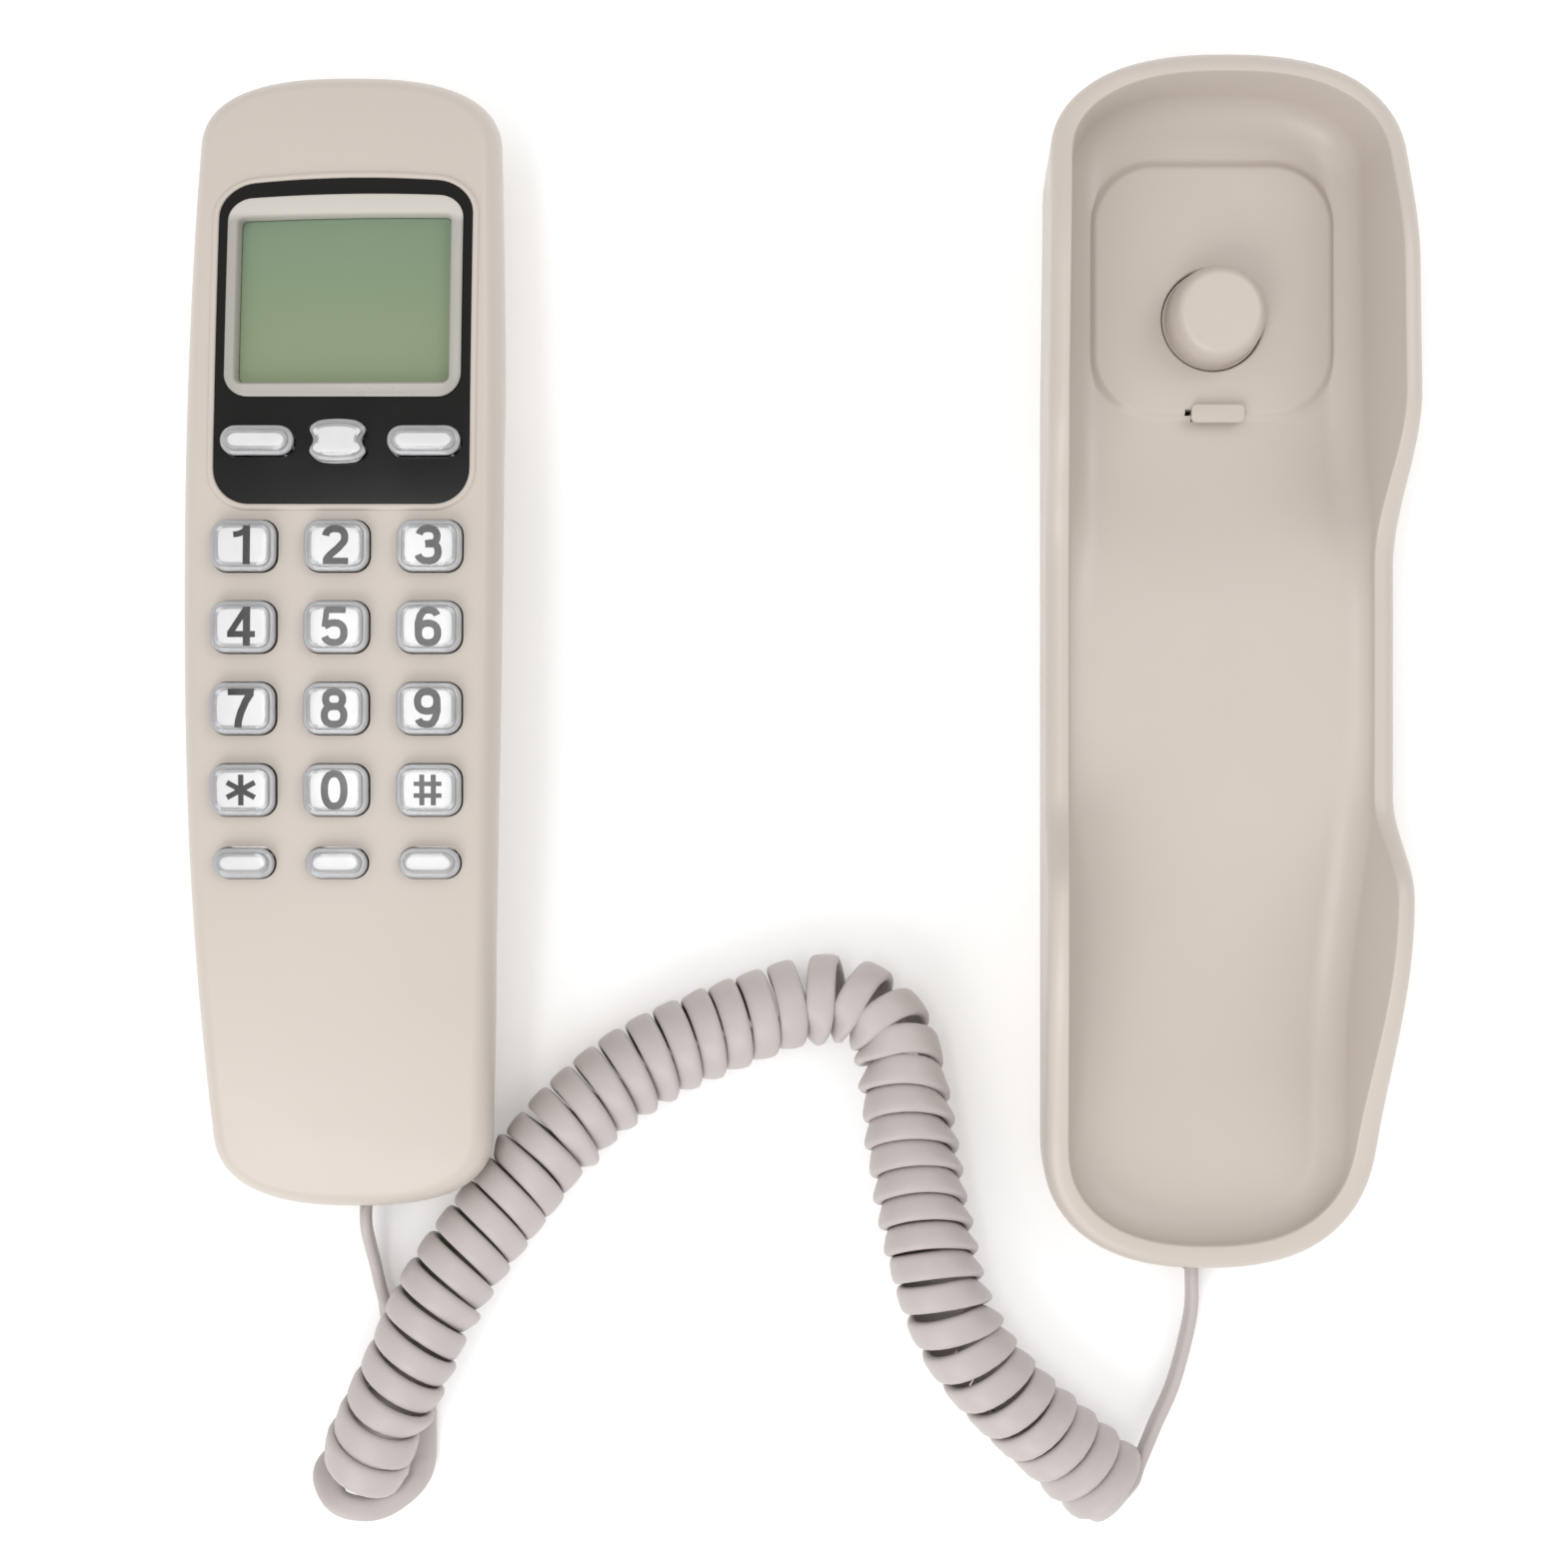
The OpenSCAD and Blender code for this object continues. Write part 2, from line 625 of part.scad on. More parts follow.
module handset_front() color(body_colour)
    in_handset()
        difference() {
            union() {
                skin([edge_ring(90), edge_ring(60), edge_ring(35), edge_ring(12), edge_ring(0),
                    edge_ring(0, shell_t), edge_ring(45, shell_t), edge_ring(90, shell_t)]);
                face_slab(panel_x, panel_y, panel_w + 2.4, panel_len + 2.4, panel_r + 1.2, -0.6, 0.45);
                for (y = screw_ys)
                    translate([0, y, screw_split + seat])
                        cylinder(r = boss_r, h = face_z(y) - shell_t - screw_split + 0.4);
            }
            face_slab(panel_x, panel_y, panel_w, panel_len, panel_r, -panel_t - seat, 2);
            translate([panel_x, frame_y, 0])
                slab(window_w + 3, window_h + 3, 1.5, board_top, face_top + past);
            front_key_holes();
            for (y = screw_ys)
                translate([0, y, 0])
                    cylinder(r = screw_r - 0.2, h = face_z(y) - shell_t - 0.8);
        }

ear_disc_r = 19;
ear_disc_t = 5;
ear_dish_r = 16.5;
ear_dish = 2.4;
ear_holes = [for (i = [0 : 7]) [6 * cos(45 * i), 6 * sin(45 * i)]];
ear_tube_r = 14.4;
mic_y = handset_bottom + 22.6;
mic_r = 4.85;
mic_t = 5;
boot_r = 5.8;
plug_w = 7.65;
plug_h = 6.3;
plug_len = 11.5;
// Socket of the handset's cord, low in the mouth end
socket_w = plug_w + 2.6;
socket_h = plug_h + 3;
socket_len = 12;
socket_depth = 10;
socket_z = 3.2;
socket_front = handset_bottom + 3.2;
plug_rear = handset_bottom - 0.4;
plug_z = socket_z + socket_h / 2;

module handset_back() color(body_colour)
    in_handset()
        difference() {
            union() {
                skin([back_ring(7.4, 0, shell_t), back_ring(5.2, 0, shell_t + 1.6),
                    back_ring(3.7, 0.4, shell_t), back_ring(0.25 + shell_t, 1), back_ring(0.25, 1),
                    back_ring(0.7, 0.72), back_ring(1.9, 0.36), back_ring(3, 0, 3),
                    back_ring(4.2, 0, 1), back_ring(6.4, 0)]);
                for (y = screw_ys)
                    translate([0, y, under_z(y) + 1])
                        cylinder(r = boss_r + 1, h = screw_split - under_z(y) - 1);
                translate([0, ear_y, shell_t - 0.2])
                    cylinder(r = ear_disc_r, h = ear_disc_t - shell_t + 0.2);
                translate([0, ear_y, shell_t])
                    difference() {
                        cylinder(r = ear_tube_r + 1.2, h = 9);
                        cylinder(r = ear_tube_r, h = 12);
                    }
                translate([0, mic_y, shell_t - 0.2])
                    difference() {
                        cylinder(r = boot_r + seat + 1, h = 4);
                        translate([0, 0, 0.2])
                            cylinder(r = boot_r + seat, h = 5);
                    }
            }
            translate([0, ear_y, -past])
                cylinder(r1 = ear_dish_r + 3.5 * past / ear_dish, r2 = ear_dish_r - 3.5, h = ear_dish + past);
            for (p = concat([[0, 0]], ear_holes))
                translate([p.x, ear_y + p.y, 0])
                    cylinder(r = 0.9, h = ear_disc_t + past);
            for (x = [-2, 0, 2])
                translate([x, mic_y, -past])
                    cylinder(r = 0.7, h = shell_t + 2 * past);
            for (y = screw_ys)
                translate([0, y, under_z(y) - past]) {
                    cylinder(r = screw_r + 0.3, h = 30);
                    cylinder(r = 3.1, h = past + 3.3);
                }
            translate([-socket_w / 2 - fit, handset_bottom - past, socket_z - fit])
                cube([socket_w + 2 * fit, 8, socket_h + 2 * fit]);
        }

module display_panel() color(black)
    in_handset()
        difference() {
            face_slab(panel_x, panel_y, panel_w - 2 * seat, panel_len - 2 * seat, panel_r - seat,
                -panel_t, 0);
            translate([panel_x, frame_y, 0])
                slab(window_w + 3, window_h + 3, 1.5, board_top, face_top + past);
            for (k = KEYS)
                if (k[2] == function_y)
                    translate([key_x(k), k[2], 0])
                        slab(k[3] + 2 * fit, k[4] + 2 * fit, k[5] + fit, board_top, face_top + past, 3);
        }

// Rounded rectangle ring about the display, up above the face
function frame_ring(w, h, r, up) =
    [for (p = rounded(w, h, r)) [panel_x + p.x, frame_y + p.y, face_z(frame_y + p.y) + up]];

// A closed band through rings, the last joined to the first
module band(rings) {
    s = len(rings[0]);
    n = len(rings) * s;
    points = [for (r = rings, p = r) p];
    polyhedron(points, [for (r = [0 : len(rings) - 1], i = [0 : s - 1])
        let (a = r * s + i, b = r * s + (i + 1) % s)
        each [[a, (a + s) % n, (b + s) % n], [a, (b + s) % n, b]]]);
}

skirt = 2.4;
// The bowed panel rises this far into the frame's flat sides
frame_lift = 0.25;

module lcd_frame() color(body_colour * 1.03)
    in_handset()
        band([
            frame_ring(window_w + 2.4, window_h + 2.4, 2.2, frame_rise),
            frame_ring(frame_w - 0.9, frame_len - 0.9, 3.6, frame_rise),
            frame_ring(frame_w, frame_len, 4, frame_rise - 0.5),
            frame_ring(frame_w, frame_len, 4, frame_lift),
            frame_ring(window_w + skirt, window_h + skirt, 1.2, frame_lift),
            frame_ring(window_w + skirt, window_h + skirt, 1.2, frame_lift - shell_t),
            frame_ring(window_w, window_h, 1, frame_lift - shell_t),
            frame_ring(window_w, window_h, 1, -0.7)
        ]);

module lcd_glass() color([0.52, 0.63, 0.49])
    in_handset()
        face_slab(panel_x, frame_y, window_w - 2 * seat, window_h - 2 * seat, 0.9,
            -shell_t, glass_t - shell_t);

module lcd_module() color([0.75, 0.76, 0.74])
    in_handset()
        face_slab(panel_x, frame_y, window_w + 5, window_h + 5, 1, -shell_t - 3.3, -shell_t - seat);

// Mats of rubber domes on the board, one dome under each key's stem
module mat(keys, y0, y1) color([0.85, 0.85, 0.83])
    in_handset() {
        translate([keys_x, (y0 + y1) / 2, 0])
            slab(2 * key_pitch_x + key_w + 1, y1 - y0, 1.5, board_top + seat, board_top + seat + mat_t, 2);
        for (k = keys)
            translate([key_x(k), k[2], board_top + seat])
                cylinder(r1 = 2.4, r2 = 1.9, h = mat_t + dome_h);
    }

low_y = row_y - 3 * key_pitch_y - 12.2;

module keypad_mat()
    mat([for (k = KEYS) if (k[2] != function_y) k], low_y - 3.6, row_y + key_h / 2 + 0.8);

module function_mat()
    mat([for (k = KEYS) if (k[2] == function_y) k], function_y - 4, function_y + 4);

board_w = 2 * key_pitch_x + key_w + 2;
board_low = low_y - 5;
board_high = frame_y + frame_len / 2;

module handset_pcb() color(green_board)
    in_handset()
        difference() {
            translate([keys_x, (board_low + board_high) / 2, 0])
                slab(board_w, board_high - board_low, 1.5, board_z, board_top, 2);
            translate([0, screw_ys[1], board_z - past])
                cylinder(r = boss_r + 1 + fit, h = pcb_t + 2 * past);
        }

// A crystal key: a domed cap, a flange trapped under the face and a stem above its rubber dome
module key(k) {
    w = k[3];
    h = k[4];
    r = k[5];
    fz = key_seat(k) - run;
        function ring(d, up) =
        [for (p = rounded(w - 2 * d, h - 2 * d, r - min(d, 0.6 * r), 3)) [p.x, p.y, face_z(k[2] + p.y) + up]];
    color(crystal_colour)
        in_handset()
            translate([key_x(k), k[2], 0]) {
                tube([ring(1.5, key_rise), ring(0.6, key_rise - 0.25), ring(0.15, key_rise - 0.9),
                    [for (p = rounded(w, h, r, 3)) [p.x, p.y, fz - flange_t / 2]]]);
                slab(w + 2 * flange_w, h + 2 * flange_w, r + flange_w, fz - flange_t, fz, 3);
                translate([-1.7, -1.5, dome_top + key_travel + 0.05])
                    cube([3.4, 3, fz - dome_top - key_travel - 0.4]);
            }
}

module ear_receiver() {
    color(black)
        in_handset()
            translate([0, ear_y, ear_disc_t + 0.9])
                difference() {
                    cylinder(r = ear_tube_r - fit, h = 3.4);
                    translate([0, 0, -past])
                        cylinder(r = 4, h = past + 1);
                }
    color(metal)
        in_handset()
            translate([0, ear_y, ear_disc_t + 4.2])
                cylinder(r = 9.5, h = 4);
}

module ear_gasket() color([0.25, 0.25, 0.27])
    in_handset()
        translate([0, ear_y, ear_disc_t + seat / 2])
            difference() {
                cylinder(r = ear_tube_r - fit, h = 0.8);
                translate([0, 0, -past])
                    cylinder(r = 10, h = 3);
            }

module microphone() color(metal)
    in_handset()
        translate([0, mic_y, shell_t + 0.9]) {
            cylinder(r = mic_r, h = mic_t);
            cylinder(r = 1, h = mic_t + 0.3);
        }

module mic_boot() color([0.15, 0.15, 0.15])
    in_handset()
        translate([0, mic_y, shell_t + seat / 2])
            difference() {
                cylinder(r = boot_r, h = mic_t);
                translate([0, 0, 0.8])
                    cylinder(r = mic_r + seat / 2, h = mic_t);
                translate([0, 0, -past])
                    cylinder(r = 3, h = 3);
            }

module handset_jack() color(black)
    in_handset()
        translate([0, socket_front, socket_z])
            rotate([0, 0, 180])
                socket_body(socket_w, socket_len, socket_h, plug_w + 0.3, plug_h + 0.3, socket_depth);

module handset_plug() color(crystal_colour)
    in_handset() {
        difference() {
            translate([-plug_w / 2, plug_rear, plug_z - plug_h / 2])
                cube([plug_w, plug_len, plug_h]);
            for (x = [-1.5, -0.5, 0.5, 1.5])
                translate([x * 1.1 - 0.2, plug_rear + plug_len - 3, plug_z - plug_h / 2 - past])
                    cube([0.4, 3 + past, past + 1]);
        }
        translate([-1.6, plug_rear + 2.4, plug_z + plug_h / 2 - 0.1])
            cube([3.2, plug_len - 3.6, 0.9]);
    }

module handset_screws() color(metal)
    in_handset()
        for (y = screw_ys)
            translate([0, y, under_z(y) + 2.2])
                pan_screw(23 - under_z(y) - 2.2);

// ---------- cord ----------

function unit(v) = v / norm(v);
function spline_at(p, i, f) =
    let (a = p[max(i - 1, 0)], b = p[i], c = p[i + 1], d = p[min(i + 2, len(p) - 1)])
    0.5 * (2 * b + (c - a) * f + (2 * a - 5 * b + 4 * c - d) * f * f + (3 * b - a - 3 * c + d) * f * f * f);
function spline(p, n) = [for (i = [0 : len(p) - 2], k = [0 : n - 1]) spline_at(p, i, k / n), p[len(p) - 1]];
function path_length(p, i = 1, sum = 0) =
    i >= len(p) ? sum : path_length(p, i + 1, sum + norm(p[i] - p[i - 1]));

// Rings of a flat cord along points p, its width along the hints h and its section of
// unit points: width first, then thickness, clockwise seen along the cord
function cord_rings(p, h, section) =
    [for (i = [0 : len(p) - 1])
        let (t = unit(p[min(i + 1, len(p) - 1)] - p[max(i - 1, 0)]),
             b = unit(h[i] - t * (h[i] * t)),
             n = cross(b, t))
        [for (q = section) p[i] + b * q[0] * cord_w / 2 + n * q[1] * cord_t / 2]];

flat_hexagon = [[1, 0], [0.62, -1], [-0.62, -1], [-1, 0], [-0.62, 1], [0.62, 1]];
flat_octagon = [[1, 0], [0.8, -0.75], [0, -1], [-0.8, -0.75], [-1, 0], [-0.8, 0.75], [0, 1], [0.8, 0.75]];

// Axis of the curls from the handset's end to the base's end: x, y, z and the share of pitch there
curl_route = [
    [-150.3, -140.4, 9.9, 5.4], [-148.4, -135.2, 10.4, 5.5], [-146.1, -128.6, 10.7, 5.5],
    [-143.1, -122.2, 10.7, 5.5], [-139.9, -116, 10.5, 5.5], [-136.6, -109.8, 10, 5.5],
    [-132.8, -103.9, 9.4, 5.6], [-128.7, -98.3, 8.8, 5.6], [-124.4, -92.8, 8.4, 5.5],
    [-120.1, -87.3, 8.3, 5.4],
    [-116, -81.7, 8.3, 5.4], [-111.1, -76.7, 8.3, 5.4], [-105.8, -72.1, 8.3, 5.3],
    [-100.1, -68.2, 8.3, 5.3], [-93.8, -65, 8.3, 5.3], [-87.3, -62.4, 8.3, 5.3],
    [-80.6, -60, 8.3, 5.4], [-75.4, -58.3, 8.2, 5.7], [-70.6, -57.1, 8.1, 6.3],
    [-65.1, -57.2, 8.1, 6.9], [-60.1, -59.5, 8.1, 7], [-56.3, -63.5, 8.1, 6.7],
    [-54.4, -68.7, 8.3, 5.7], [-53.4, -76, 8.5, 5], [-52.2, -84.2, 8.5, 5],
    [-50.9, -91.1, 8.5, 5], [-49.6, -98, 8.5, 5], [-48.1, -104.9, 8.4, 5.2],
    [-46.1, -111.6, 8.3, 5.8], [-43.2, -117.9, 8.1, 6], [-39.1, -123.5, 8.1, 6],
    [-34.3, -128.6, 8.2, 5.7], [-29.1, -133.4, 8.3, 5.3], [-23.7, -137.9, 8.4, 5.1],
    [-17.6, -143, 8.5, 5]];
// Where the coil meets its two leads, and the way the cord runs there
handset_joint = [-140.3, -136, 1.3];
handset_joint_way = [0, -1, 0];
base_joint = [-9.9, -137.6, 4.8];
base_joint_way = unit([2.1, 4.4, -1]);
// Each end is straight for one width of the cord
stub = cord_w;
// From the handset's plug to the coil, under the coil's end
handset_route = [
    [-149.3, -101.5, 5], [-148.7, -106, 2.4], [-147.5, -111, 1.3],
    [-145.6, -116.5, 1.25], [-143.3, -122, 1.25], [-141.3, -127.3, 1.3]];
// The wide last curl
loop_route = [
    [-141.4, -144.5, 2.6], [-145, -147.4, 5.2], [-149.8, -148.1, 7.2], [-154.8, -146.6, 7.4],
    [-157, -142.6, 5.4], [-155, -140.1, 3.3]];
// From the coil's last curl round its end and on to the base lead
tail_route = [
    [-20.2, -146.9, 3.6], [-20.9, -148.4, 7.6], [-19.7, -147.7, 10.8], [-17.3, -146.2, 11.9],
    [-14.9, -144.9, 10], [-13, -143.4, 7.5]];
// From the strain relief to the coil's other end
base_route = [[-1.5, -113, 3.4], [-2.8, -120, 3], [-5, -127.4, 3.2]];

axis_steps = 6;
axis = spline(curl_route, axis_steps);
function place(v) = [v[0], v[1], v[2]];
axis_n = len(axis);
function heading(i) = unit(place(axis[min(i + 1, axis_n - 1)]) - place(axis[max(i - 1, 0)]));
function bend(i) =
    let (a = heading(max(i - 1, 0)),
         b = heading(min(i + 1, axis_n - 1)),
         d = norm(place(axis[min(i + 1, axis_n - 1)]) - place(axis[max(i - 1, 0)])))
    cross(a, b).z / d;
// Turns wound up to each point of the axis at the stated shares, and the same for the real count
wound = [for (i = 0, t = 0; i < axis_n; i = i + 1,
    t = i < axis_n
        ? t + norm(place(axis[i]) - place(axis[i - 1])) / (axis[i][3] + axis[i - 1][3]) * 2
        : t) t];
wind_scale = curls / wound[axis_n - 1];
winding = [for (i = [0 : axis_n - 1]) [wound[i] * wind_scale, i]];
rings_per_curl = 8;

// Centre and width direction of the cord at a turn. Where the coil bends, the curls on the inside
// lean on each other like shingles.
function curl(turn) =
    let (at = lookup(turn, winding),
         i = min(floor(at), axis_n - 2),
         f = at - i,
         c = place(axis[i]) * (1 - f) + place(axis[i + 1]) * f,
         t = unit(heading(i) * (1 - f) + heading(i + 1) * f),
         k = bend(i) * (1 - f) + bend(i + 1) * f,
         pitch = (axis[i][3] * (1 - f) + axis[i + 1][3] * f) / wind_scale,
         left = unit(cross([0, 0, 1], t)),
         up = cross(t, left),
         a = -90 - 360 * turn,
         out = left * cos(a) + up * sin(a),
         space = pitch * (1 - k * curl_r * cos(a)),
         lean = max(0, min(64, 200 * (1 - space / (cord_w + 0.9)))))
    [c + out * curl_r, t * cos(lean) + out * sin(lean)];

coil_turns = [for (j = [0 : curls * rings_per_curl]) curl(j / rings_per_curl)];
first_curl = coil_turns[0];
last_curl = coil_turns[len(coil_turns) - 1];

loop_steps = 3;
loop_path = concat([handset_joint + handset_joint_way * stub], loop_route, [first_curl[0]]);
loop_points = concat([handset_joint + handset_joint_way * seat / 2],
    [for (i = [0 : len(loop_path) - 2], k = [0 : loop_steps - 1]) spline_at(loop_path, i, k / loop_steps)]);
loop_turn = -280;
loop_hints = [for (i = [0 : len(loop_points) - 1])
    let (b = loop_turn * max(0, i - 1) / len(loop_points)) [cos(b), sin(b), 0]];

// The coil's other end opens into an arc round its end face
tail_steps = 2;
tail_path = concat([last_curl[0]], tail_route, [base_joint - base_joint_way * stub]);
tail_points = concat(
    [for (i = [0 : len(tail_path) - 2], k = [1 : tail_steps]) spline_at(tail_path, i, k / tail_steps)],
    [base_joint - base_joint_way * seat / 2]);
tail_hints = [for (i = [1 : len(tail_points)])
    let (f = max(0, min(1, (i - 5) / 7))) last_curl[1] * (1 - f) + [0, 0, -1] * f];

coil_points = concat(loop_points, [for (c = coil_turns) c[0]], tail_points);
coil_hints = concat(loop_hints, [for (c = coil_turns) c[1]], tail_hints);
coil_rings = cord_rings(coil_points, coil_hints, flat_hexagon);

// Least gap between each curl and the next one, from corner to corner of their sections
function ring_gap(a, b) = min([for (p = a, q = b) norm(p - q)]);
function curl_gap() =
    min([for (i = [0 : len(coil_rings) - 1], j = [i + 5 : min(i + 11, len(coil_rings) - 1)])
        norm(coil_points[i] - coil_points[j]) < 2 * cord_w
            ? ring_gap(coil_rings[i], coil_rings[j])
            : cord_w]);

module cord_coil() color(cord_colour)
    tube(coil_rings);

plug_end = [handset_x, handset_y + plug_rear, plug_z];
handset_lead_points = concat([plug_end - [0, seat, 0]],
    spline(concat([plug_end - [0, stub, 0]], handset_route, [handset_joint - handset_joint_way * stub]), 2),
    [handset_joint - handset_joint_way * seat / 2]);

module handset_lead() color(cord_colour)
    tube(cord_rings(handset_lead_points,
        [for (i = [0 : len(handset_lead_points) - 1])
            cross([0, 0, 1], unit(handset_lead_points[min(i + 1, len(handset_lead_points) - 1)]
                - handset_lead_points[max(i - 1, 0)]))],
        flat_octagon));

relief_end = [exit_x, grommet_nose, exit_z];
base_lead_points = concat([relief_end - [0, seat, 0]],
    spline(concat([relief_end - [0, stub, 0]], base_route, [base_joint + base_joint_way * stub]), 2),
    [base_joint + base_joint_way * seat / 2]);

module base_lead() color(cord_colour)
    tube(cord_rings(base_lead_points, [for (p = base_lead_points) [0, 0, 1]], flat_octagon));

union() {
    echo(curls = curls, least_gap_mm = curl_gap());
    echo(cord_length_mm = path_length(handset_lead_points) + path_length(coil_points)
        + path_length(base_lead_points));
}

base_shell();
base_plate();
base_pcb();
hook_button();
hook_spring();
hook_switch();
hook_tab();
ringer();
line_jack();
cord_grommet();
base_screws();
rubber_feet();
handset_front();
handset_back();
display_panel();
lcd_frame();
lcd_glass();
lcd_module();
keypad_mat();
function_mat();
handset_pcb();
ear_receiver();
ear_gasket();
microphone();
mic_boot();
handset_jack();
handset_plug();
handset_screws();
base_lead();
cord_coil();
handset_lead();
for (k = KEYS)
    key(k);
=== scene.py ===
import json
import math
from contextlib import contextmanager

import bmesh
import bpy
import numpy as np
from mathutils import Matrix, Vector

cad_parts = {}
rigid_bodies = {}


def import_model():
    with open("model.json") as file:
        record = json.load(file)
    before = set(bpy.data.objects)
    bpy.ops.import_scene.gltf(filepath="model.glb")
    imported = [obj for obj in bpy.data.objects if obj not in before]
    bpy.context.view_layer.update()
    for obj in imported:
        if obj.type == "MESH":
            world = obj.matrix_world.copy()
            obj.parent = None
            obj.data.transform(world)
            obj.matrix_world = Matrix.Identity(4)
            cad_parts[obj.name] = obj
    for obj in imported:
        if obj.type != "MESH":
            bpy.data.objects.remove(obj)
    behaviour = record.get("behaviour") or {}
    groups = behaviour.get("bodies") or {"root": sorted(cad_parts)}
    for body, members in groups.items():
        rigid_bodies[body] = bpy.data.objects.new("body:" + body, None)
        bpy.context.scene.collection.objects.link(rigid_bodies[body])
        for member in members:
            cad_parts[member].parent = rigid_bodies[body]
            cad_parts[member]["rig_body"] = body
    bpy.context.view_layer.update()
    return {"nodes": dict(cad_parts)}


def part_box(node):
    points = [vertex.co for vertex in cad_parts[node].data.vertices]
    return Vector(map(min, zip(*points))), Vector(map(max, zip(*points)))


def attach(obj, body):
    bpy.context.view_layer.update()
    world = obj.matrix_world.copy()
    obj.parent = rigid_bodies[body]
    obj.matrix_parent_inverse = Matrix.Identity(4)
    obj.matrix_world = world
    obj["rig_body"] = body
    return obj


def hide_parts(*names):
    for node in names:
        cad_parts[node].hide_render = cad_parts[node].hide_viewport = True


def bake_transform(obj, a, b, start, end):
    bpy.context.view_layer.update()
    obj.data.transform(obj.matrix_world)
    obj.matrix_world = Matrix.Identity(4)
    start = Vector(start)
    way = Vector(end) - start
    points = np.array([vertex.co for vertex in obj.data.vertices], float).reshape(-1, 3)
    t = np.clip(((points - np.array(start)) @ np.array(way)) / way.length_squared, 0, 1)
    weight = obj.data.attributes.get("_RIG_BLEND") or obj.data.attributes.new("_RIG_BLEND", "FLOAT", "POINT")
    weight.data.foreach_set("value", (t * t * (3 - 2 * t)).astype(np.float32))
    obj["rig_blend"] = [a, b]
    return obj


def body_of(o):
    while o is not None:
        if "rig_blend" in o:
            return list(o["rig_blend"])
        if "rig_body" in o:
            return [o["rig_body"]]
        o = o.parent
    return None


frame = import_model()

bl_info = {
    "name": "Slimline wall phone",
    "version": (1, 0, 0),
    "blender": (4, 5, 0),
    "location": "View3D > Sidebar > Wall Phone",
    "description": "Dresses the phone's fixed frame with smooth mouldings, keys, display and curly cord",
    "category": "Object",
}

MM = 0.001
BASE_LOW, BASE_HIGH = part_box("base_shell")
HANDSET_LOW, HANDSET_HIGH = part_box("handset_front")


# ---------- properties ----------

def length(name, mm, text):
    return bpy.props.FloatProperty(name=name, description=text, default=mm * MM, unit="LENGTH", precision=5)


def colour(name, rgb, text):
    return bpy.props.FloatVectorProperty(name=name, description=text, subtype="COLOR", size=3,
                                         min=0.0, max=1.0, default=rgb)


class WallPhoneColours(bpy.types.PropertyGroup):
    shell: colour("Shell", (0.530, 0.478, 0.432), "Moulded shells, button and tab")
    frame: colour("Display frame", (0.560, 0.535, 0.490), "Raised frame round the display")
    panel: colour("Panel", (0.008, 0.0075, 0.0072), "Glossy panel behind the display")
    display: colour("Display", (0.165, 0.240, 0.147), "Unlit liquid crystal")
    display_low: colour("Display, low end", (0.210, 0.268, 0.145), "Unlit liquid crystal at its lower edge")
    insert: colour("Key insert", (0.640, 0.642, 0.655), "Silver-white plate inside each key")
    ink: colour("Ink", (0.012, 0.012, 0.014), "Printed numbers")
    cord: colour("Cord", (0.470, 0.425, 0.412), "Vinyl jacket of the cord")
    board: colour("Circuit board", (0.020, 0.120, 0.045), "Solder mask")
    metal: colour("Metal", (0.560, 0.560, 0.555), "Screws, spring and capsules")
    rubber: colour("Rubber", (0.035, 0.034, 0.033), "Feet and gaskets")
    silicone: colour("Silicone", (0.640, 0.640, 0.610), "Mats under the keys")


class WallPhoneBase(bpy.types.PropertyGroup):
    foot_w: length("Width at the wall", 56.8, "Width of the base where it meets the wall")
    draft: length("Draft", 74.3, "How far a wall leans out over one metre of height")
    rim_ear: length("Rim at the ear", 38, "Height of the rim beside the ear end")
    rim_waist: length("Rim at the waist", 24, "Height of the rim at the waist")
    rim_mouth: length("Rim at the mouth", 34.5, "Height of the rim beside the mouth end")
    rim_end: length("Rim at the low end", 12, "Height of the rim where the cord leaves")
    floor_ear: length("Floor at the ear", 14.8, "Height of the tray's floor under the ear")
    floor_waist: length("Floor at the waist", 21, "Height of the tray's floor at the waist")
    floor_mouth: length("Floor at the mouth", 6.5, "Height of the tray's floor under the mouth")
    wall: length("Wall", 2.2, "Thickness of the mouldings")
    fillet: length("Fillet", 5.5, "Rounding between the tray's floor and its wall")
    lip: length("Lip", 3, "Rounding of the rim's outer edge")
    pad_w: length("Pad", 42.6, "Width of the raised pad under the ear")
    pad_h: length("Pad height", 1.2, "How far the pad stands above the floor")
    hook_d: length("Button", 17, "Diameter of the hook button")
    hook_rise: length("Button height", 7.8, "How far the button stands above the pad")


class WallPhoneHandset(bpy.types.PropertyGroup):
    length: length("Length", 195.9, "Length of the handset")
    width: length("Width", 53.9, "Greatest width of the handset")
    face_top: length("Face", 33.6, "Height of the face at its crown")
    grip_under: length("Grip", 12.5, "Height of the arch under the grip")
    edge_in: length("Edge inset", 3.3, "How far the face's rounded edge reaches in")
    edge_down: length("Edge drop", 5.8, "How far the face's rounded edge drops")
    panel_w: length("Panel width", 43, "Width of the glossy panel")
    panel_len: length("Panel length", 56.1, "Length of the glossy panel")
    window_w: length("Window width", 35.5, "Width of the display window")
    window_h: length("Window height", 27.8, "Height of the display window")
    key_w: length("Key width", 11, "Width of a number key")
    key_h: length("Key height", 8.8, "Length of a number key")
    key_rise: length("Key rise", 2.2, "How far a key stands above the face")
    pitch_x: length("Column pitch", 15.5, "Distance between the number columns")
    pitch_y: length("Row pitch", 13.6, "Distance between the number rows")
    digit_h: length("Digit height", 6.5, "Height of the printed numbers")


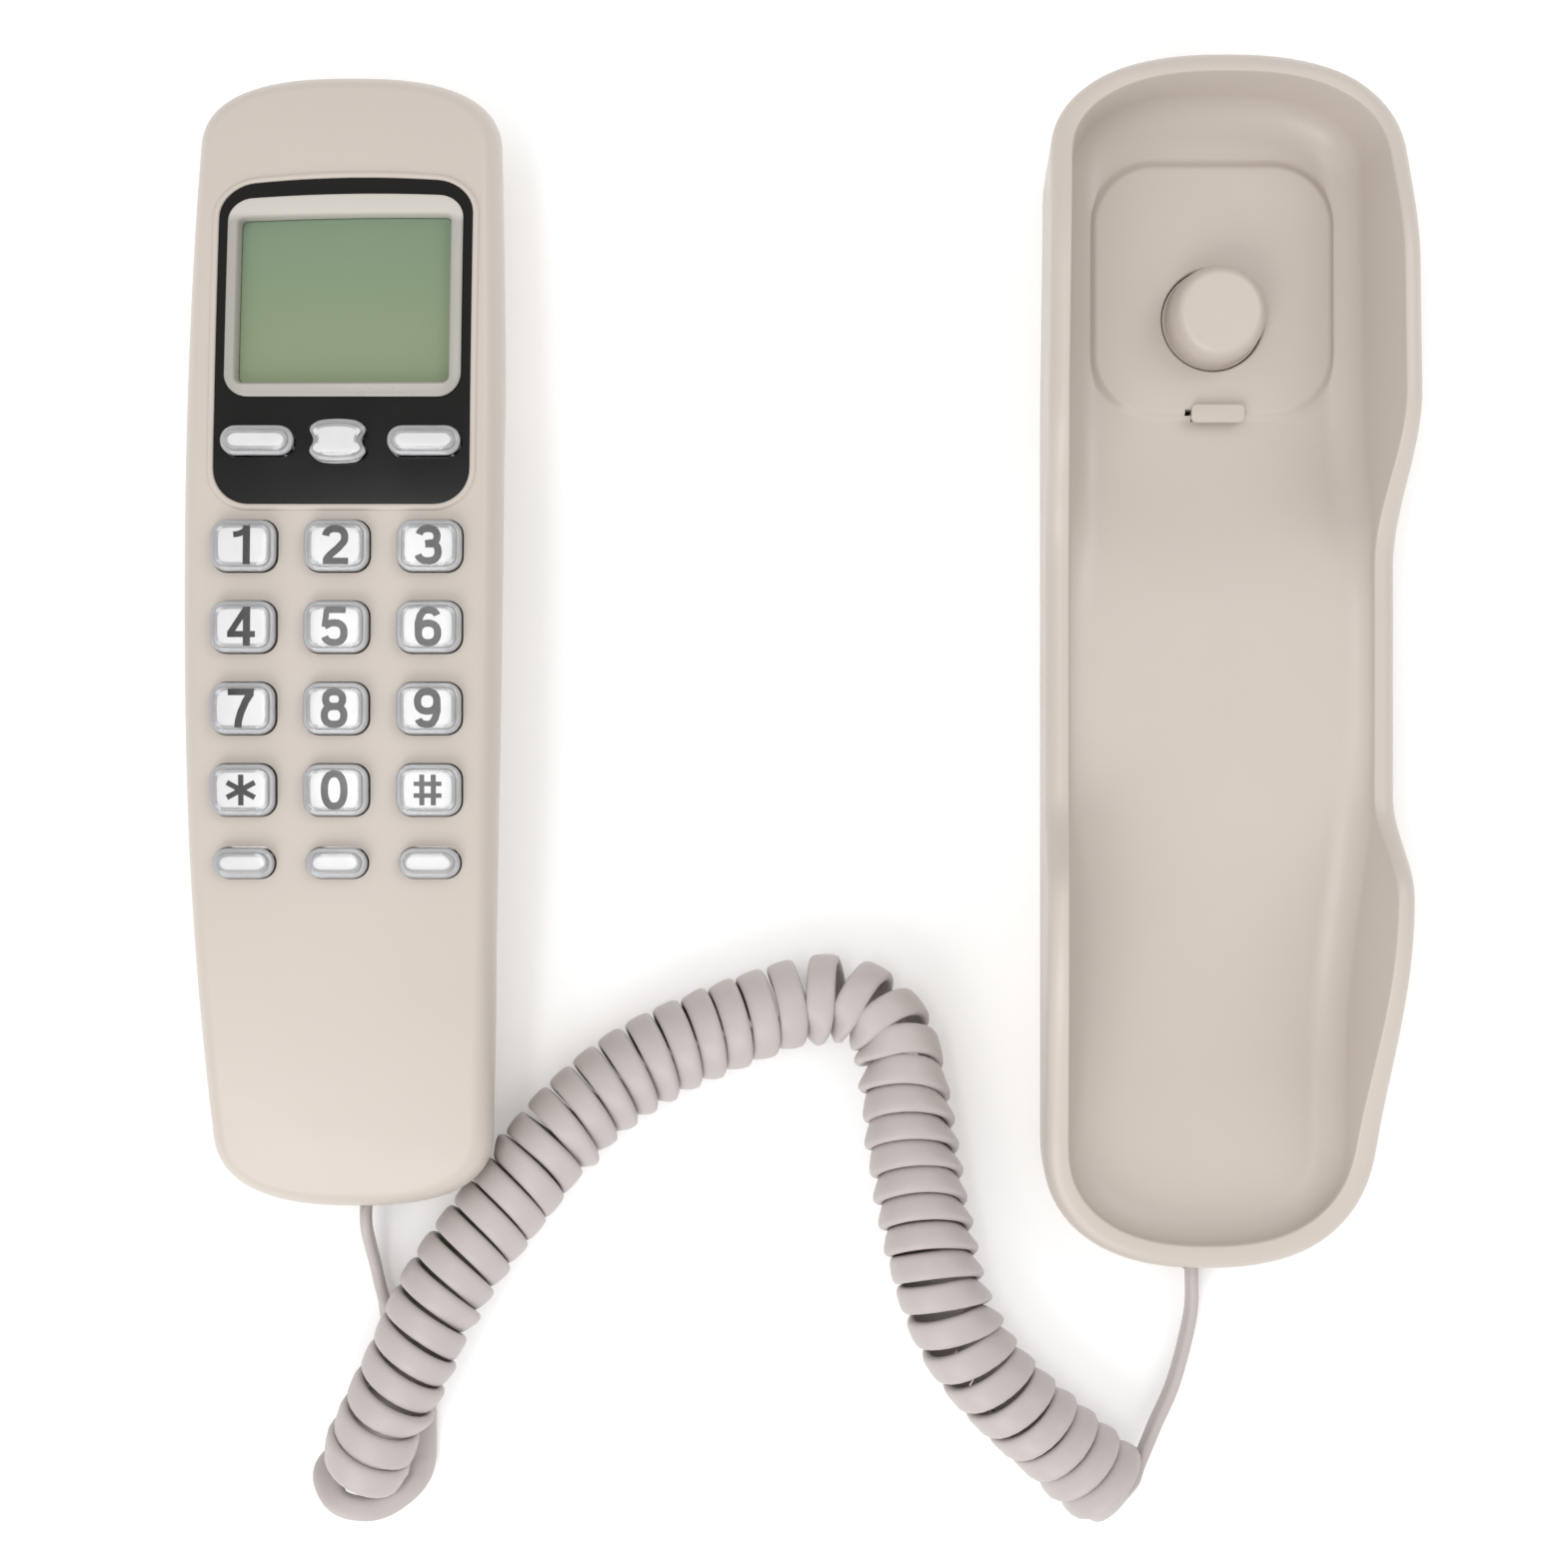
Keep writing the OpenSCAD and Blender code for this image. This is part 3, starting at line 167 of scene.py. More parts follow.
class WallPhoneCord(bpy.types.PropertyGroup):
    width: length("Cord width", 4.5, "Width of the flat cord")
    thickness: length("Cord thickness", 2.2, "Thickness of the flat cord")
    curl_r: length("Curl radius", 6.7, "From the coil's axis to the middle of the cord")
    swell: length("Swell", 0.35, "How much wider the cord is in its curls")
    curls: bpy.props.FloatProperty(name="Curls", description="Turns in the coil", default=44,
                                   min=10, max=60)


class WallPhoneSettings(bpy.types.PropertyGroup):
    colours: bpy.props.PointerProperty(type=WallPhoneColours)
    base: bpy.props.PointerProperty(type=WallPhoneBase)
    handset: bpy.props.PointerProperty(type=WallPhoneHandset)
    cord: bpy.props.PointerProperty(type=WallPhoneCord)


def settings():
    return bpy.context.scene.wall_phone


def names_in(group):
    return [name for name in group.bl_rna.properties.keys() if name not in ("rna_type", "name")]


def in_mm(group, *names):
    return [getattr(group, name) / MM for name in names]


# ---------- materials ----------

def add_node(tree, kind, inputs, **options):
    """A node with its inputs, by name or number, each a value or an output of another node."""
    node = tree.nodes.new(kind)
    for key, value in options.items():
        setattr(node, key, value)
    for key, value in inputs.items():
        if isinstance(value, bpy.types.NodeSocket):
            tree.links.new(value, node.inputs[key])
        else:
            node.inputs[key].default_value = value
    return node


def mixed(tree, factor, low, high):
    return add_node(tree, "ShaderNodeMix", {0: factor, 6: low, 7: high}, data_type="RGBA").outputs[2]


def paint(name, base, rough, mottle=0.03, grain=0.04, coat=0.0, metallic=0.0, specular=0.5,
          transmission=0.0, ior=1.5, glow=0.0, blotch_size=26.0, grain_size=2600.0):
    """Principled material with colour mottling, uneven gloss and a fine moulded grain."""
    mat = bpy.data.materials.new(name)
    mat.use_nodes = True
    tree = mat.node_tree
    shader = tree.nodes["Principled BSDF"]
    for socket, value in {"Metallic": metallic, "Specular IOR Level": specular, "Coat Weight": coat,
                          "Coat Roughness": 0.08, "Transmission Weight": transmission, "IOR": ior,
                          "Emission Strength": glow}.items():
        shader.inputs[socket].default_value = value
    place = add_node(tree, "ShaderNodeTexCoord", {}).outputs["Object"]

    def noise(scale, detail, rough_=0.5):
        return add_node(tree, "ShaderNodeTexNoise", {"Vector": place, "Scale": scale, "Detail": detail,
                                                     "Roughness": rough_}).outputs["Fac"]

    def spread(source, low, high):
        return add_node(tree, "ShaderNodeMapRange", {"Value": source, "From Min": 0.3, "From Max": 0.7,
                                                     "To Min": low, "To Max": high}).outputs["Result"]

    light = tuple(min(1.0, c * (1 + mottle)) for c in base)
    dark = tuple(c * (1 - mottle) for c in base)
    shade = mixed(tree, spread(noise(blotch_size, 3.0), 0.0, 1.0), (*dark, 1), (*light, 1))
    tree.links.new(shade, shader.inputs["Base Color"])
    gloss = spread(noise(90.0, 4.0, 0.6), max(0.0, rough - 0.05), rough + 0.05)
    tree.links.new(gloss, shader.inputs["Roughness"])
    if grain:
        bump = add_node(tree, "ShaderNodeBump", {"Strength": grain, "Distance": 0.0001,
                                                 "Height": noise(grain_size, 2.0)})
        tree.links.new(bump.outputs["Normal"], shader.inputs["Normal"])
    return mat


# Each finish: its colour, or the name of its colour in the settings, its roughness and other inputs
FINISHES = {
    "floor_paper": ((0.90, 0.90, 0.90), 0.85, dict(mottle=0.006, grain=0.02, specular=0.1, glow=0.16)),
    "shell_plastic": ("shell", 0.36, dict(mottle=0.012, grain=0.10, specular=0.42)),
    "frame_plastic_painted_shade": ("frame", 0.30, dict(mottle=0.02, grain=0.06)),
    "display_glass": ("display", 0.12, dict(mottle=0.02, grain=0.0, coat=0.5)),
    "panel_gloss": ("panel", 0.16, dict(mottle=0.10, grain=0.02, specular=0.18)),
    "clear_crystal": ((0.985, 0.99, 1.0), 0.05, dict(mottle=0.0, grain=0.0, transmission=1.0, ior=1.49)),
    "insert_white": ("insert", 0.16, dict(mottle=0.04, grain=0.05, blotch_size=140.0)),
    "ink": ("ink", 0.16, dict(mottle=0.15, grain=0.05)),
    "cord_vinyl": ("cord", 0.42, dict(grain=0.12, grain_size=1500.0, specular=0.4)),
    "board_green": ("board", 0.4, dict(mottle=0.2, grain=0.1, coat=0.3)),
    "bright_metal": ("metal", 0.3, dict(mottle=0.06, grain=0.1, metallic=1.0)),
    "black_rubber": ("rubber", 0.75, dict(mottle=0.15, grain=0.3, specular=0.3)),
    "black_plastic": ((0.022, 0.022, 0.023), 0.42, dict(mottle=0.12, grain=0.12)),
    "soft_silicone": ("silicone", 0.6, dict(mottle=0.05, grain=0.2)),
}
MADE = {}


def finish(name):
    """The material of a finish, made once."""
    if name not in MADE:
        base, rough, more = FINISHES[name]
        if isinstance(base, str):
            base = tuple(getattr(settings().colours, base))
        MADE[name] = paint(name, base, rough, **more)
    return MADE[name]


def fade_in_y(mat, low_y, high_y, low_colour):
    """Fades a painted material to another colour towards the low end of a stretch of y."""
    tree = mat.node_tree
    base = tree.nodes["Principled BSDF"].inputs["Base Color"]
    place = next(n for n in tree.nodes if n.type == "TEX_COORD").outputs["Object"]
    y = add_node(tree, "ShaderNodeSeparateXYZ", {"Vector": place}).outputs["Y"]
    fade = add_node(tree, "ShaderNodeMapRange", {"From Min": low_y, "From Max": high_y, "Value": y},
                    interpolation_type="SMOOTHSTEP").outputs["Result"]
    tree.links.new(mixed(tree, fade, (*low_colour, 1), base.links[0].from_socket), base)
    return mat


def frame_plastic_painted_shade():
    """Pearl-silver lacquer with painted shade: palest along the upper edge of the frame and darker below it,
    standing in for the shade on its sides and lower facets.
    """
    if "frame_plastic_painted_shade" in MADE:
        return MADE["frame_plastic_painted_shade"]
    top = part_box("lcd_frame")[1].y
    # Painted shade: more than 4.5 mm below the frame's upper edge its colour falls to two thirds
    painted_shade_colour = [c * 0.66 for c in settings().colours.frame]
    return fade_in_y(finish("frame_plastic_painted_shade"), top - 4.5 * MM, top - 2.5 * MM, painted_shade_colour)


def display_material():
    """Grey-green liquid crystal under glass, bluer at its upper edge and more yellow low down."""
    if "display_glass" in MADE:
        return MADE["display_glass"]
    low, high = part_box("lcd_glass")
    return fade_in_y(finish("display_glass"), low.y, high.y, settings().colours.display_low)


# ---------- mesh helpers ----------

def unit(v):
    """One vector, or each row of many, at length one."""
    return v / np.linalg.norm(v, axis=-1, keepdims=True)


def ease(y, knots):
    """Cosine easing through (y, z) knots that fall in y."""
    ys, zs = np.array(knots[::-1], float).T
    y = np.clip(np.asarray(y, float), ys[0], ys[-1])
    i = np.clip(np.searchsorted(ys, y, side="right") - 1, 0, len(ys) - 2)
    f = (y - ys[i]) / (ys[i + 1] - ys[i])
    return zs[i] + (zs[i + 1] - zs[i]) * (1 - np.cos(np.pi * f)) / 2


def rounded(w, h, r, n=8):
    """Points of a rounded rectangle, clockwise seen from above."""
    out = []
    for q in range(4):
        cx = (1 if q in (0, 1) else -1) * (w / 2 - r)
        cy = (1 if q in (0, 3) else -1) * (h / 2 - r)
        for i in range(n + 1):
            a = math.radians(90 - 90 * (q + i / n))
            out.append((cx + r * math.cos(a), cy + r * math.sin(a)))
    return out


def split_edges(outline, parts_of):
    """A closed outline with each edge cut into as many parts as parts_of gives for its width and height."""
    out = []
    for (ax, ay), (bx, by) in zip(outline, outline[1:] + outline[:1]):
        parts = parts_of(abs(bx - ax), abs(by - ay))
        out += [(ax + (bx - ax) * k / parts, ay + (by - ay) * k / parts) for k in range(parts)]
    return out


def plan_ring(half, top, bottom, cap_top, cap_bottom, n, inset, steps=20, rows=96):
    """One ring of a moulding's plan: superellipse ends and bowed sides, moved in by inset(y)."""
    a = np.radians(90 * np.arange(steps) / steps)
    cos_a, sin_a = np.cos(a) ** (2 / n), np.sin(a) ** (2 / n)

    def end(y, cap):
        tips = inset(y + cap * cos_a)
        reach = cap - tips if cap > 0 else cap + tips
        return np.stack([(half(y) - tips) * sin_a, y + reach * cos_a], 1)

    side_y = np.linspace(top, bottom, rows)
    side = np.stack([half(side_y) - inset(side_y), side_y], 1)
    right = np.concatenate([end(top, cap_top), side, end(bottom, -cap_bottom)[::-1]])
    return np.concatenate([right, right[1:-1][::-1] * [-1, 1]])


def mesh_from(name, verts, faces):
    """A mesh from points in millimetres."""
    mesh = bpy.data.meshes.new(name)
    mesh.from_pydata([Vector(v) * MM for v in np.asarray(verts, float).tolist()], [], faces)
    mesh.update()
    return mesh


def walls(rings, count, closed=False):
    """Faces between rings of count points each; closed joins the last ring to the first."""
    faces = []
    for r in range(rings if closed else rings - 1):
        up = ((r + 1) % rings - r) * count
        for i in range(count):
            a, b = r * count + i, r * count + (i + 1) % count
            faces.append((a, a + up, b + up, b))
    return faces


def skin(name, rings):
    """A closed form through rings, its ends closed by strips from side to side."""
    count = len(rings[0])
    middle, last = count // 2, (len(rings) - 1) * count
    first = [(0, 1, count - 1)] + [(i, i + 1, count - i - 1, count - i) for i in range(1, middle - 1)]
    first.append((middle - 1, middle, middle + 1))
    caps = first + [tuple(last + i for i in reversed(f)) for f in first]
    return mesh_from(name, np.concatenate(rings), walls(len(rings), count) + caps)


def tube(name, rings, closed=False):
    """A form through rings, either closed on itself or with a flat face on each end."""
    n, count = len(rings), len(rings[0])
    faces = walls(n, count, closed)
    if not closed:
        faces += [tuple(range(count)), tuple(reversed(range((n - 1) * count, n * count)))]
    mesh = mesh_from(name, np.concatenate(rings), faces)
    fix_normals(mesh)
    return mesh


def prism(name, outline, low, high):
    """A slab over an outline of x, y points; low and high are heights or functions of y."""
    n = len(outline)
    verts = [(x, y, z(y) if callable(z) else z) for z in (low, high) for x, y in outline]
    sides = [(i, i + n, (i + 1) % n + n, (i + 1) % n) for i in range(n)]
    return mesh_from(name, verts, [tuple(range(n)), tuple(reversed(range(n, 2 * n)))] + sides)


@contextmanager
def edited(mesh):
    """An editable copy of a mesh, which is written back at the end."""
    bm = bmesh.new()
    bm.from_mesh(mesh)
    yield bm
    bm.to_mesh(mesh)
    bm.free()


def fix_normals(mesh):
    with edited(mesh) as bm:
        bmesh.ops.recalc_face_normals(bm, faces=bm.faces)


def turned(name, profile, centre, steps=72):
    """A solid of revolution about a vertical line; profile is radius, height from the bottom up."""
    a = 2 * np.pi * np.arange(steps) / steps
    verts = [np.stack([centre[0] + r * np.cos(a), centre[1] + r * np.sin(a), z + 0 * a], 1)
             for r, z in profile]
    mesh = mesh_from(name, np.concatenate(verts), walls(len(profile), steps))
    with edited(mesh) as bm:
        bmesh.ops.remove_doubles(bm, verts=bm.verts, dist=1e-7)
        bmesh.ops.recalc_face_normals(bm, faces=bm.faces)
    return mesh


def cylinder(name, x, y, r, z0, z1, steps=48):
    angles = [2 * math.pi * i / steps for i in range(steps)]
    return prism(name, [(x + r * math.sin(a), y + r * math.cos(a)) for a in angles], z0, z1)


def block(name, x0, y0, z0, x1, y1, z1):
    return prism(name, [(x0, y1), (x1, y1), (x1, y0), (x0, y0)], z0, z1)


def link(name, mesh):
    piece = bpy.data.objects.new(name, mesh)
    bpy.context.scene.collection.objects.link(piece)
    return piece


def evaluated(piece):
    return bpy.data.meshes.new_from_object(piece.evaluated_get(bpy.context.evaluated_depsgraph_get()))


def flatten(piece):
    """Applies the modifiers of a piece."""
    old, piece.data = piece.data, evaluated(piece)
    piece.modifiers.clear()
    bpy.data.meshes.remove(old)


def joined(name, meshes, slots=None):
    """One mesh from several; slots gives the material slot of each."""
    out = bpy.data.meshes.new(name)
    with edited(out) as bm:
        for mesh, slot in zip(meshes, slots or [0] * len(meshes)):
            before = len(bm.faces)
            bm.from_mesh(mesh)
            bm.faces.ensure_lookup_table()
            for face in bm.faces[before:]:
                face.material_index = slot
    return out


def carve(piece, meshes, operation="DIFFERENCE"):
    """Cuts or adds closed meshes that don't touch each other."""
    mesh = joined("cutter", meshes)
    fix_normals(mesh)
    cutter = link("cutter", mesh)
    step = piece.modifiers.new("carve", "BOOLEAN")
    step.operation = operation
    step.solver = "EXACT"
    step.object = cutter
    flatten(piece)
    bpy.data.objects.remove(cutter)
    bpy.data.meshes.remove(mesh)


def finish_piece(piece, material, body, slot, *nodes, angle=32):
    """Material, shading, body and the CAD nodes that the piece stands for."""
    mesh = piece.data
    if material:
        mesh.materials.clear()
        mesh.materials.append(material)
    mesh.polygons.foreach_set("use_smooth", [True] * len(mesh.polygons))
    mesh.set_sharp_from_angle(angle=math.radians(angle))
    if body:
        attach(piece, body)
    if nodes:
        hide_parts(*nodes)
    return piece


def refined(node, look, slot, bevel):
    """A merged copy of a fixed node with softened edges, which stands for it."""
    angle = math.radians(32)
    mesh = frame["nodes"][node].data.copy()
    with edited(mesh) as bm:
        bmesh.ops.remove_doubles(bm, verts=bm.verts, dist=2e-6)
        bmesh.ops.dissolve_limit(bm, angle_limit=math.radians(1.0), verts=bm.verts, edges=bm.edges)
    for name in [a.name for a in mesh.attributes if a.name == "custom_normal"]:
        mesh.attributes.remove(mesh.attributes[name])
    piece = link(node + "_piece", mesh)
    if bevel:
        step = piece.modifiers.new("soften", "BEVEL")
        step.width, step.segments = bevel * MM, 3
        step.limit_method, step.angle_limit = "ANGLE", angle
        step.use_clamp_overlap = True
        flatten(piece)
    return finish_piece(piece, finish(look), body_of(frame["nodes"][node])[0], slot, node)


def paint_node(node, look):
    mesh = frame["nodes"][node].data
    mesh.materials.clear()
    mesh.materials.append(finish(look))


# ---------- geometry node trees ----------

class Tree:
    """A small geometry node tree with named inputs."""

    def __init__(self, name, **inputs):
        self.group = bpy.data.node_groups.new(name, "GeometryNodeTree")
        new_socket = self.group.interface.new_socket
        new_socket("Geometry", in_out="OUTPUT", socket_type="NodeSocketGeometry")
        self.ids = {label: new_socket(label, in_out="INPUT", socket_type="NodeSocket" + kind).identifier
                    for label, kind in {"Geometry": "Geometry", **inputs}.items()}
        self.values = self.group.nodes.new("NodeGroupInput").outputs

    def add(self, kind, inputs=None, **options):
        return add_node(self.group, kind, inputs or {}, **options)

    def maths(self, operation, a, b=0.0):
        return self.add("ShaderNodeMath", {0: a, 1: b}, operation=operation).outputs[0]

    def vector(self, x, y, z):
        return self.add("ShaderNodeCombineXYZ", {0: x, 1: y, 2: z}).outputs[0]

    def end(self, geometry):
        """Ends the tree in real geometry with its material."""
        real = self.add("GeometryNodeRealizeInstances", {"Geometry": geometry}).outputs[0]
        last = self.add("GeometryNodeSetMaterial", {"Geometry": real, "Material": self.values["Material"]})
        self.add("NodeGroupOutput", {0: last.outputs[0]})
        return self

    def run(self, name, mesh=None, **inputs):
        """Evaluates the tree on a mesh and returns a plain mesh."""
        holder = link("holder", mesh or bpy.data.meshes.new("empty"))
        step = holder.modifiers.new("tree", "NODES")
        step.node_group = self.group
        for label, value in inputs.items():
            step[self.ids[label]] = value
        out = evaluated(holder)
        out.name = name
        bpy.data.objects.remove(holder)
        return out


# How far in the top of a key cap's skirt lies, and how much further its shoulder draws in, in metres
SKIRT_IN = 0.0001
SHOULDER_IN = 0.0013
# How many times the reach of a pinch, from the cap's middle, goes into the cap's height
PINCH_REACHES = 2.5


def key_cap_tree():
    """A rounded key cap: a skirt, then a rounded shoulder, sheared to the face's slope and pinched."""
    t = Tree("Key cap", Width="Float", Height="Float", Corner="Float", Skirt="Float", Shoulder="Float",
             Slope="Float", Pinch="Float", Bulge="Float", Material="Material")
    w, h = t.values["Width"], t.values["Height"]

    def times(a, b):
        return t.maths("MULTIPLY", a, b)

    def less(a, b):
        return t.maths("SUBTRACT", a, b)

    curve = t.add("GeometryNodeCurvePrimitiveQuadrilateral", {"Width": w, "Height": h}).outputs[0]
    curve = t.add("GeometryNodeFilletCurve", {"Curve": curve, "Count": 8, "Radius": t.values["Corner"],
                                              "Limit Radius": True}, mode="POLY").outputs[0]
    curve = t.add("GeometryNodeResampleCurve", {"Curve": curve, "Count": 72}, mode="COUNT").outputs[0]
    base = t.add("GeometryNodeFillCurve", {"Curve": curve}, mode="NGONS").outputs[0]
    spot = t.add("GeometryNodeInputPosition").outputs[0]
    turns = np.radians(np.linspace(0, 90, 7)).tolist()
    steps = [(t.values["Skirt"], SKIRT_IN)]
    for low, high in zip(turns, turns[1:]):
        steps.append((times(t.values["Shoulder"], math.sin(high) - math.sin(low)),
                      SKIRT_IN + SHOULDER_IN * (1 - math.cos(high))))
    mesh, top, before = base, True, 0.0
    for rise, inset in steps:
        raised = t.add("GeometryNodeExtrudeMesh", {"Mesh": mesh, "Offset Scale": rise, "Individual": False,
                                                   "Selection": top}, mode="FACES")
        top = raised.outputs["Top"]
        scale = [t.maths("DIVIDE", less(size, 2 * inset), less(size, 2 * before)) for size in (w, h)]
        moved = t.add("ShaderNodeVectorMath", {0: spot, 1: t.vector(*scale, 1.0)}, operation="MULTIPLY")
        mesh = t.add("GeometryNodeSetPosition", {"Geometry": raised.outputs["Mesh"], "Selection": top,
                                                 "Position": moved.outputs[0]}).outputs[0]
        before = inset
    bottom = t.add("GeometryNodeFlipFaces", {"Mesh": base}).outputs[0]
    both = t.add("GeometryNodeJoinGeometry", {0: bottom})
    t.group.links.new(mesh, both.inputs[0])
    whole = t.add("GeometryNodeMergeByDistance", {"Geometry": both.outputs[0], "Distance": 1e-6}).outputs[0]
    x, y, z = t.add("ShaderNodeSeparateXYZ", {"Vector": spot}).outputs
    across = t.maths("DIVIDE", times(x, 2.0), w)
    along = t.maths("MINIMUM", 1.0, t.maths("ABSOLUTE", t.maths("DIVIDE", times(y, PINCH_REACHES), h)))
    dip = less(1.0, times(along, along))
    waist = less(1.0, times(t.values["Pinch"], times(dip, dip)))
    arch = less(1.0, times(t.values["Bulge"], times(across, across)))
    tilt = t.maths("ADD", z, times(y, t.values["Slope"]))
    return t.end(t.add("GeometryNodeSetPosition", {
        "Geometry": whole, "Position": t.vector(times(x, waist), times(y, arch), tilt)}).outputs[0])


def copies(name, shape_mesh, points):
    """A plain mesh of shape_mesh repeated at points in millimetres."""
    t = Tree("Copies on points", Shape="Object", Material="Material")
    shape = t.add("GeometryNodeObjectInfo", {"Object": t.values["Shape"]}).outputs["Geometry"]
    repeated = t.add("GeometryNodeInstanceOnPoints", {"Points": t.values["Geometry"], "Instance": shape})
    t.end(repeated.outputs[0])
    shape = link("shape", shape_mesh)
    mesh = t.run(name, mesh_from("spots", points, []), Shape=shape)
    bpy.data.objects.remove(shape)
    return mesh


# ---------- printed characters ----------

def arc(x, y, rx, ry, start, end, n=18):
    """Points round a slightly squared ellipse from one angle to another, in degrees."""
    def squared(v):
        return math.copysign(abs(v) ** 0.86, v)
    return [(x + rx * squared(math.cos(a)), y + ry * squared(math.sin(a)))
            for a in np.radians(np.linspace(start, end, n + 1))]


def glyph(text):
    """Strokes of a character seven units tall: middle line and width."""
    w = 1.3
    hook = [(0.55, -0.55), (-0.75, -1.75), (-1.45, -2.6)]
    shapes = {
        "0": [(arc(0, 0, 1.62, 2.9, 90, 450, 40), w)],
        "1": [([(0.75, 3.5), (0.75, -3.5)], w), (arc(-1.75, 3.6, 2.5, 1.75, -85, -8, 8), 1.05)],
        "2": [(arc(0, 1.35, 1.6, 1.55, 172, -28, 16) + hook, w), ([(-2.0, -2.92), (2.2, -2.92)], 1.16)],
        "3": [(arc(-0.05, 1.5, 1.5, 1.42, 168, -72, 16) + [(-0.5, 0.15)], w),
              ([(-0.5, 0.15)] + arc(-0.05, -1.25, 1.7, 1.66, 72, -164, 18), w)],
        "4": [([(0.9, 3.5), (0.9, -3.5)], w), ([(0.75, 3.1), (-1.9, -1.35)], 1.1),
              ([(-2.3, -1.4), (2.3, -1.4)], 1.1)],
        "5": [([(1.85, 2.93), (-1.45, 2.93)], 1.14), ([(-1.25, 3.2), (-1.65, -0.1)], 1.05),
              ([(-1.62, 0.05)] + arc(-0.05, -1.15, 1.65, 1.78, 128, -160, 20), w)],
        "6": [(arc(0.05, -1.2, 1.6, 1.75, 90, 450, 30), w),
              (arc(0.1, 1.35, 1.5, 1.57, 20, 120, 10) + [(-1.25, 1.9), (-1.58, 0.6), (-1.55, -1.2)], w)],
        "7": [([(-2.15, 2.9), (2.15, 2.9)], 1.2),
              ([(1.7, 2.7), (0.8, 1.2), (0.05, -0.7), (-0.35, -2.2), (-0.5, -3.5)], w)],
        "8": [(arc(0, 1.6, 1.4, 1.33, 90, 450, 30), w), (arc(0, -1.3, 1.62, 1.62, 90, 450, 30), w)],
        "9": [(arc(-0.05, 1.2, 1.6, 1.75, 90, 450, 30), w),
              (arc(-0.1, -1.35, 1.5, 1.57, 200, 300, 10) + [(1.25, -1.9), (1.58, -0.6), (1.55, 1.2)], w)],
        "*": [([(0, 2.75), (0, -2.75)], 0.95), ([(-2.3, 1.35), (2.3, -1.35)], 0.95),
              ([(-2.3, -1.35), (2.3, 1.35)], 0.95)],
        "#": [([(-0.95, 2.75), (-0.95, -2.75)], 0.9), ([(0.95, 2.75), (0.95, -2.75)], 0.9),
              ([(-2.3, 1.1), (2.3, 1.1)], 0.8), ([(-2.3, -1.0), (2.3, -1.0)], 0.8)],
    }
    return shapes[text]


def stroke(line, weight, lift):
    """A thin ribbon of one width along a line of x, y points in millimetres."""
    closed = np.linalg.norm(line[0] - line[-1]) < 1e-6
    line = line[:-1] if closed else line
    after, before = np.roll(line, -1, 0), np.roll(line, 1, 0)
    if not closed:
        after[-1], before[0] = line[-1], line[0]
    way = unit(after - before)
    side = np.column_stack([way[:, 1], -way[:, 0]]) * weight / 2
    rings = [[(*right, lift - 0.05), (*left, lift - 0.05), (*left, lift), (*right, lift)]
             for right, left in zip(line + side, line - side)]
    return tube("stroke", rings, closed)


# ---------- the base's shape ----------

def take_sizes(shape, group):
    """Gives a shape every size of its group, in millimetres."""
    for name in names_in(group):
        setattr(shape, name, getattr(group, name) / MM)


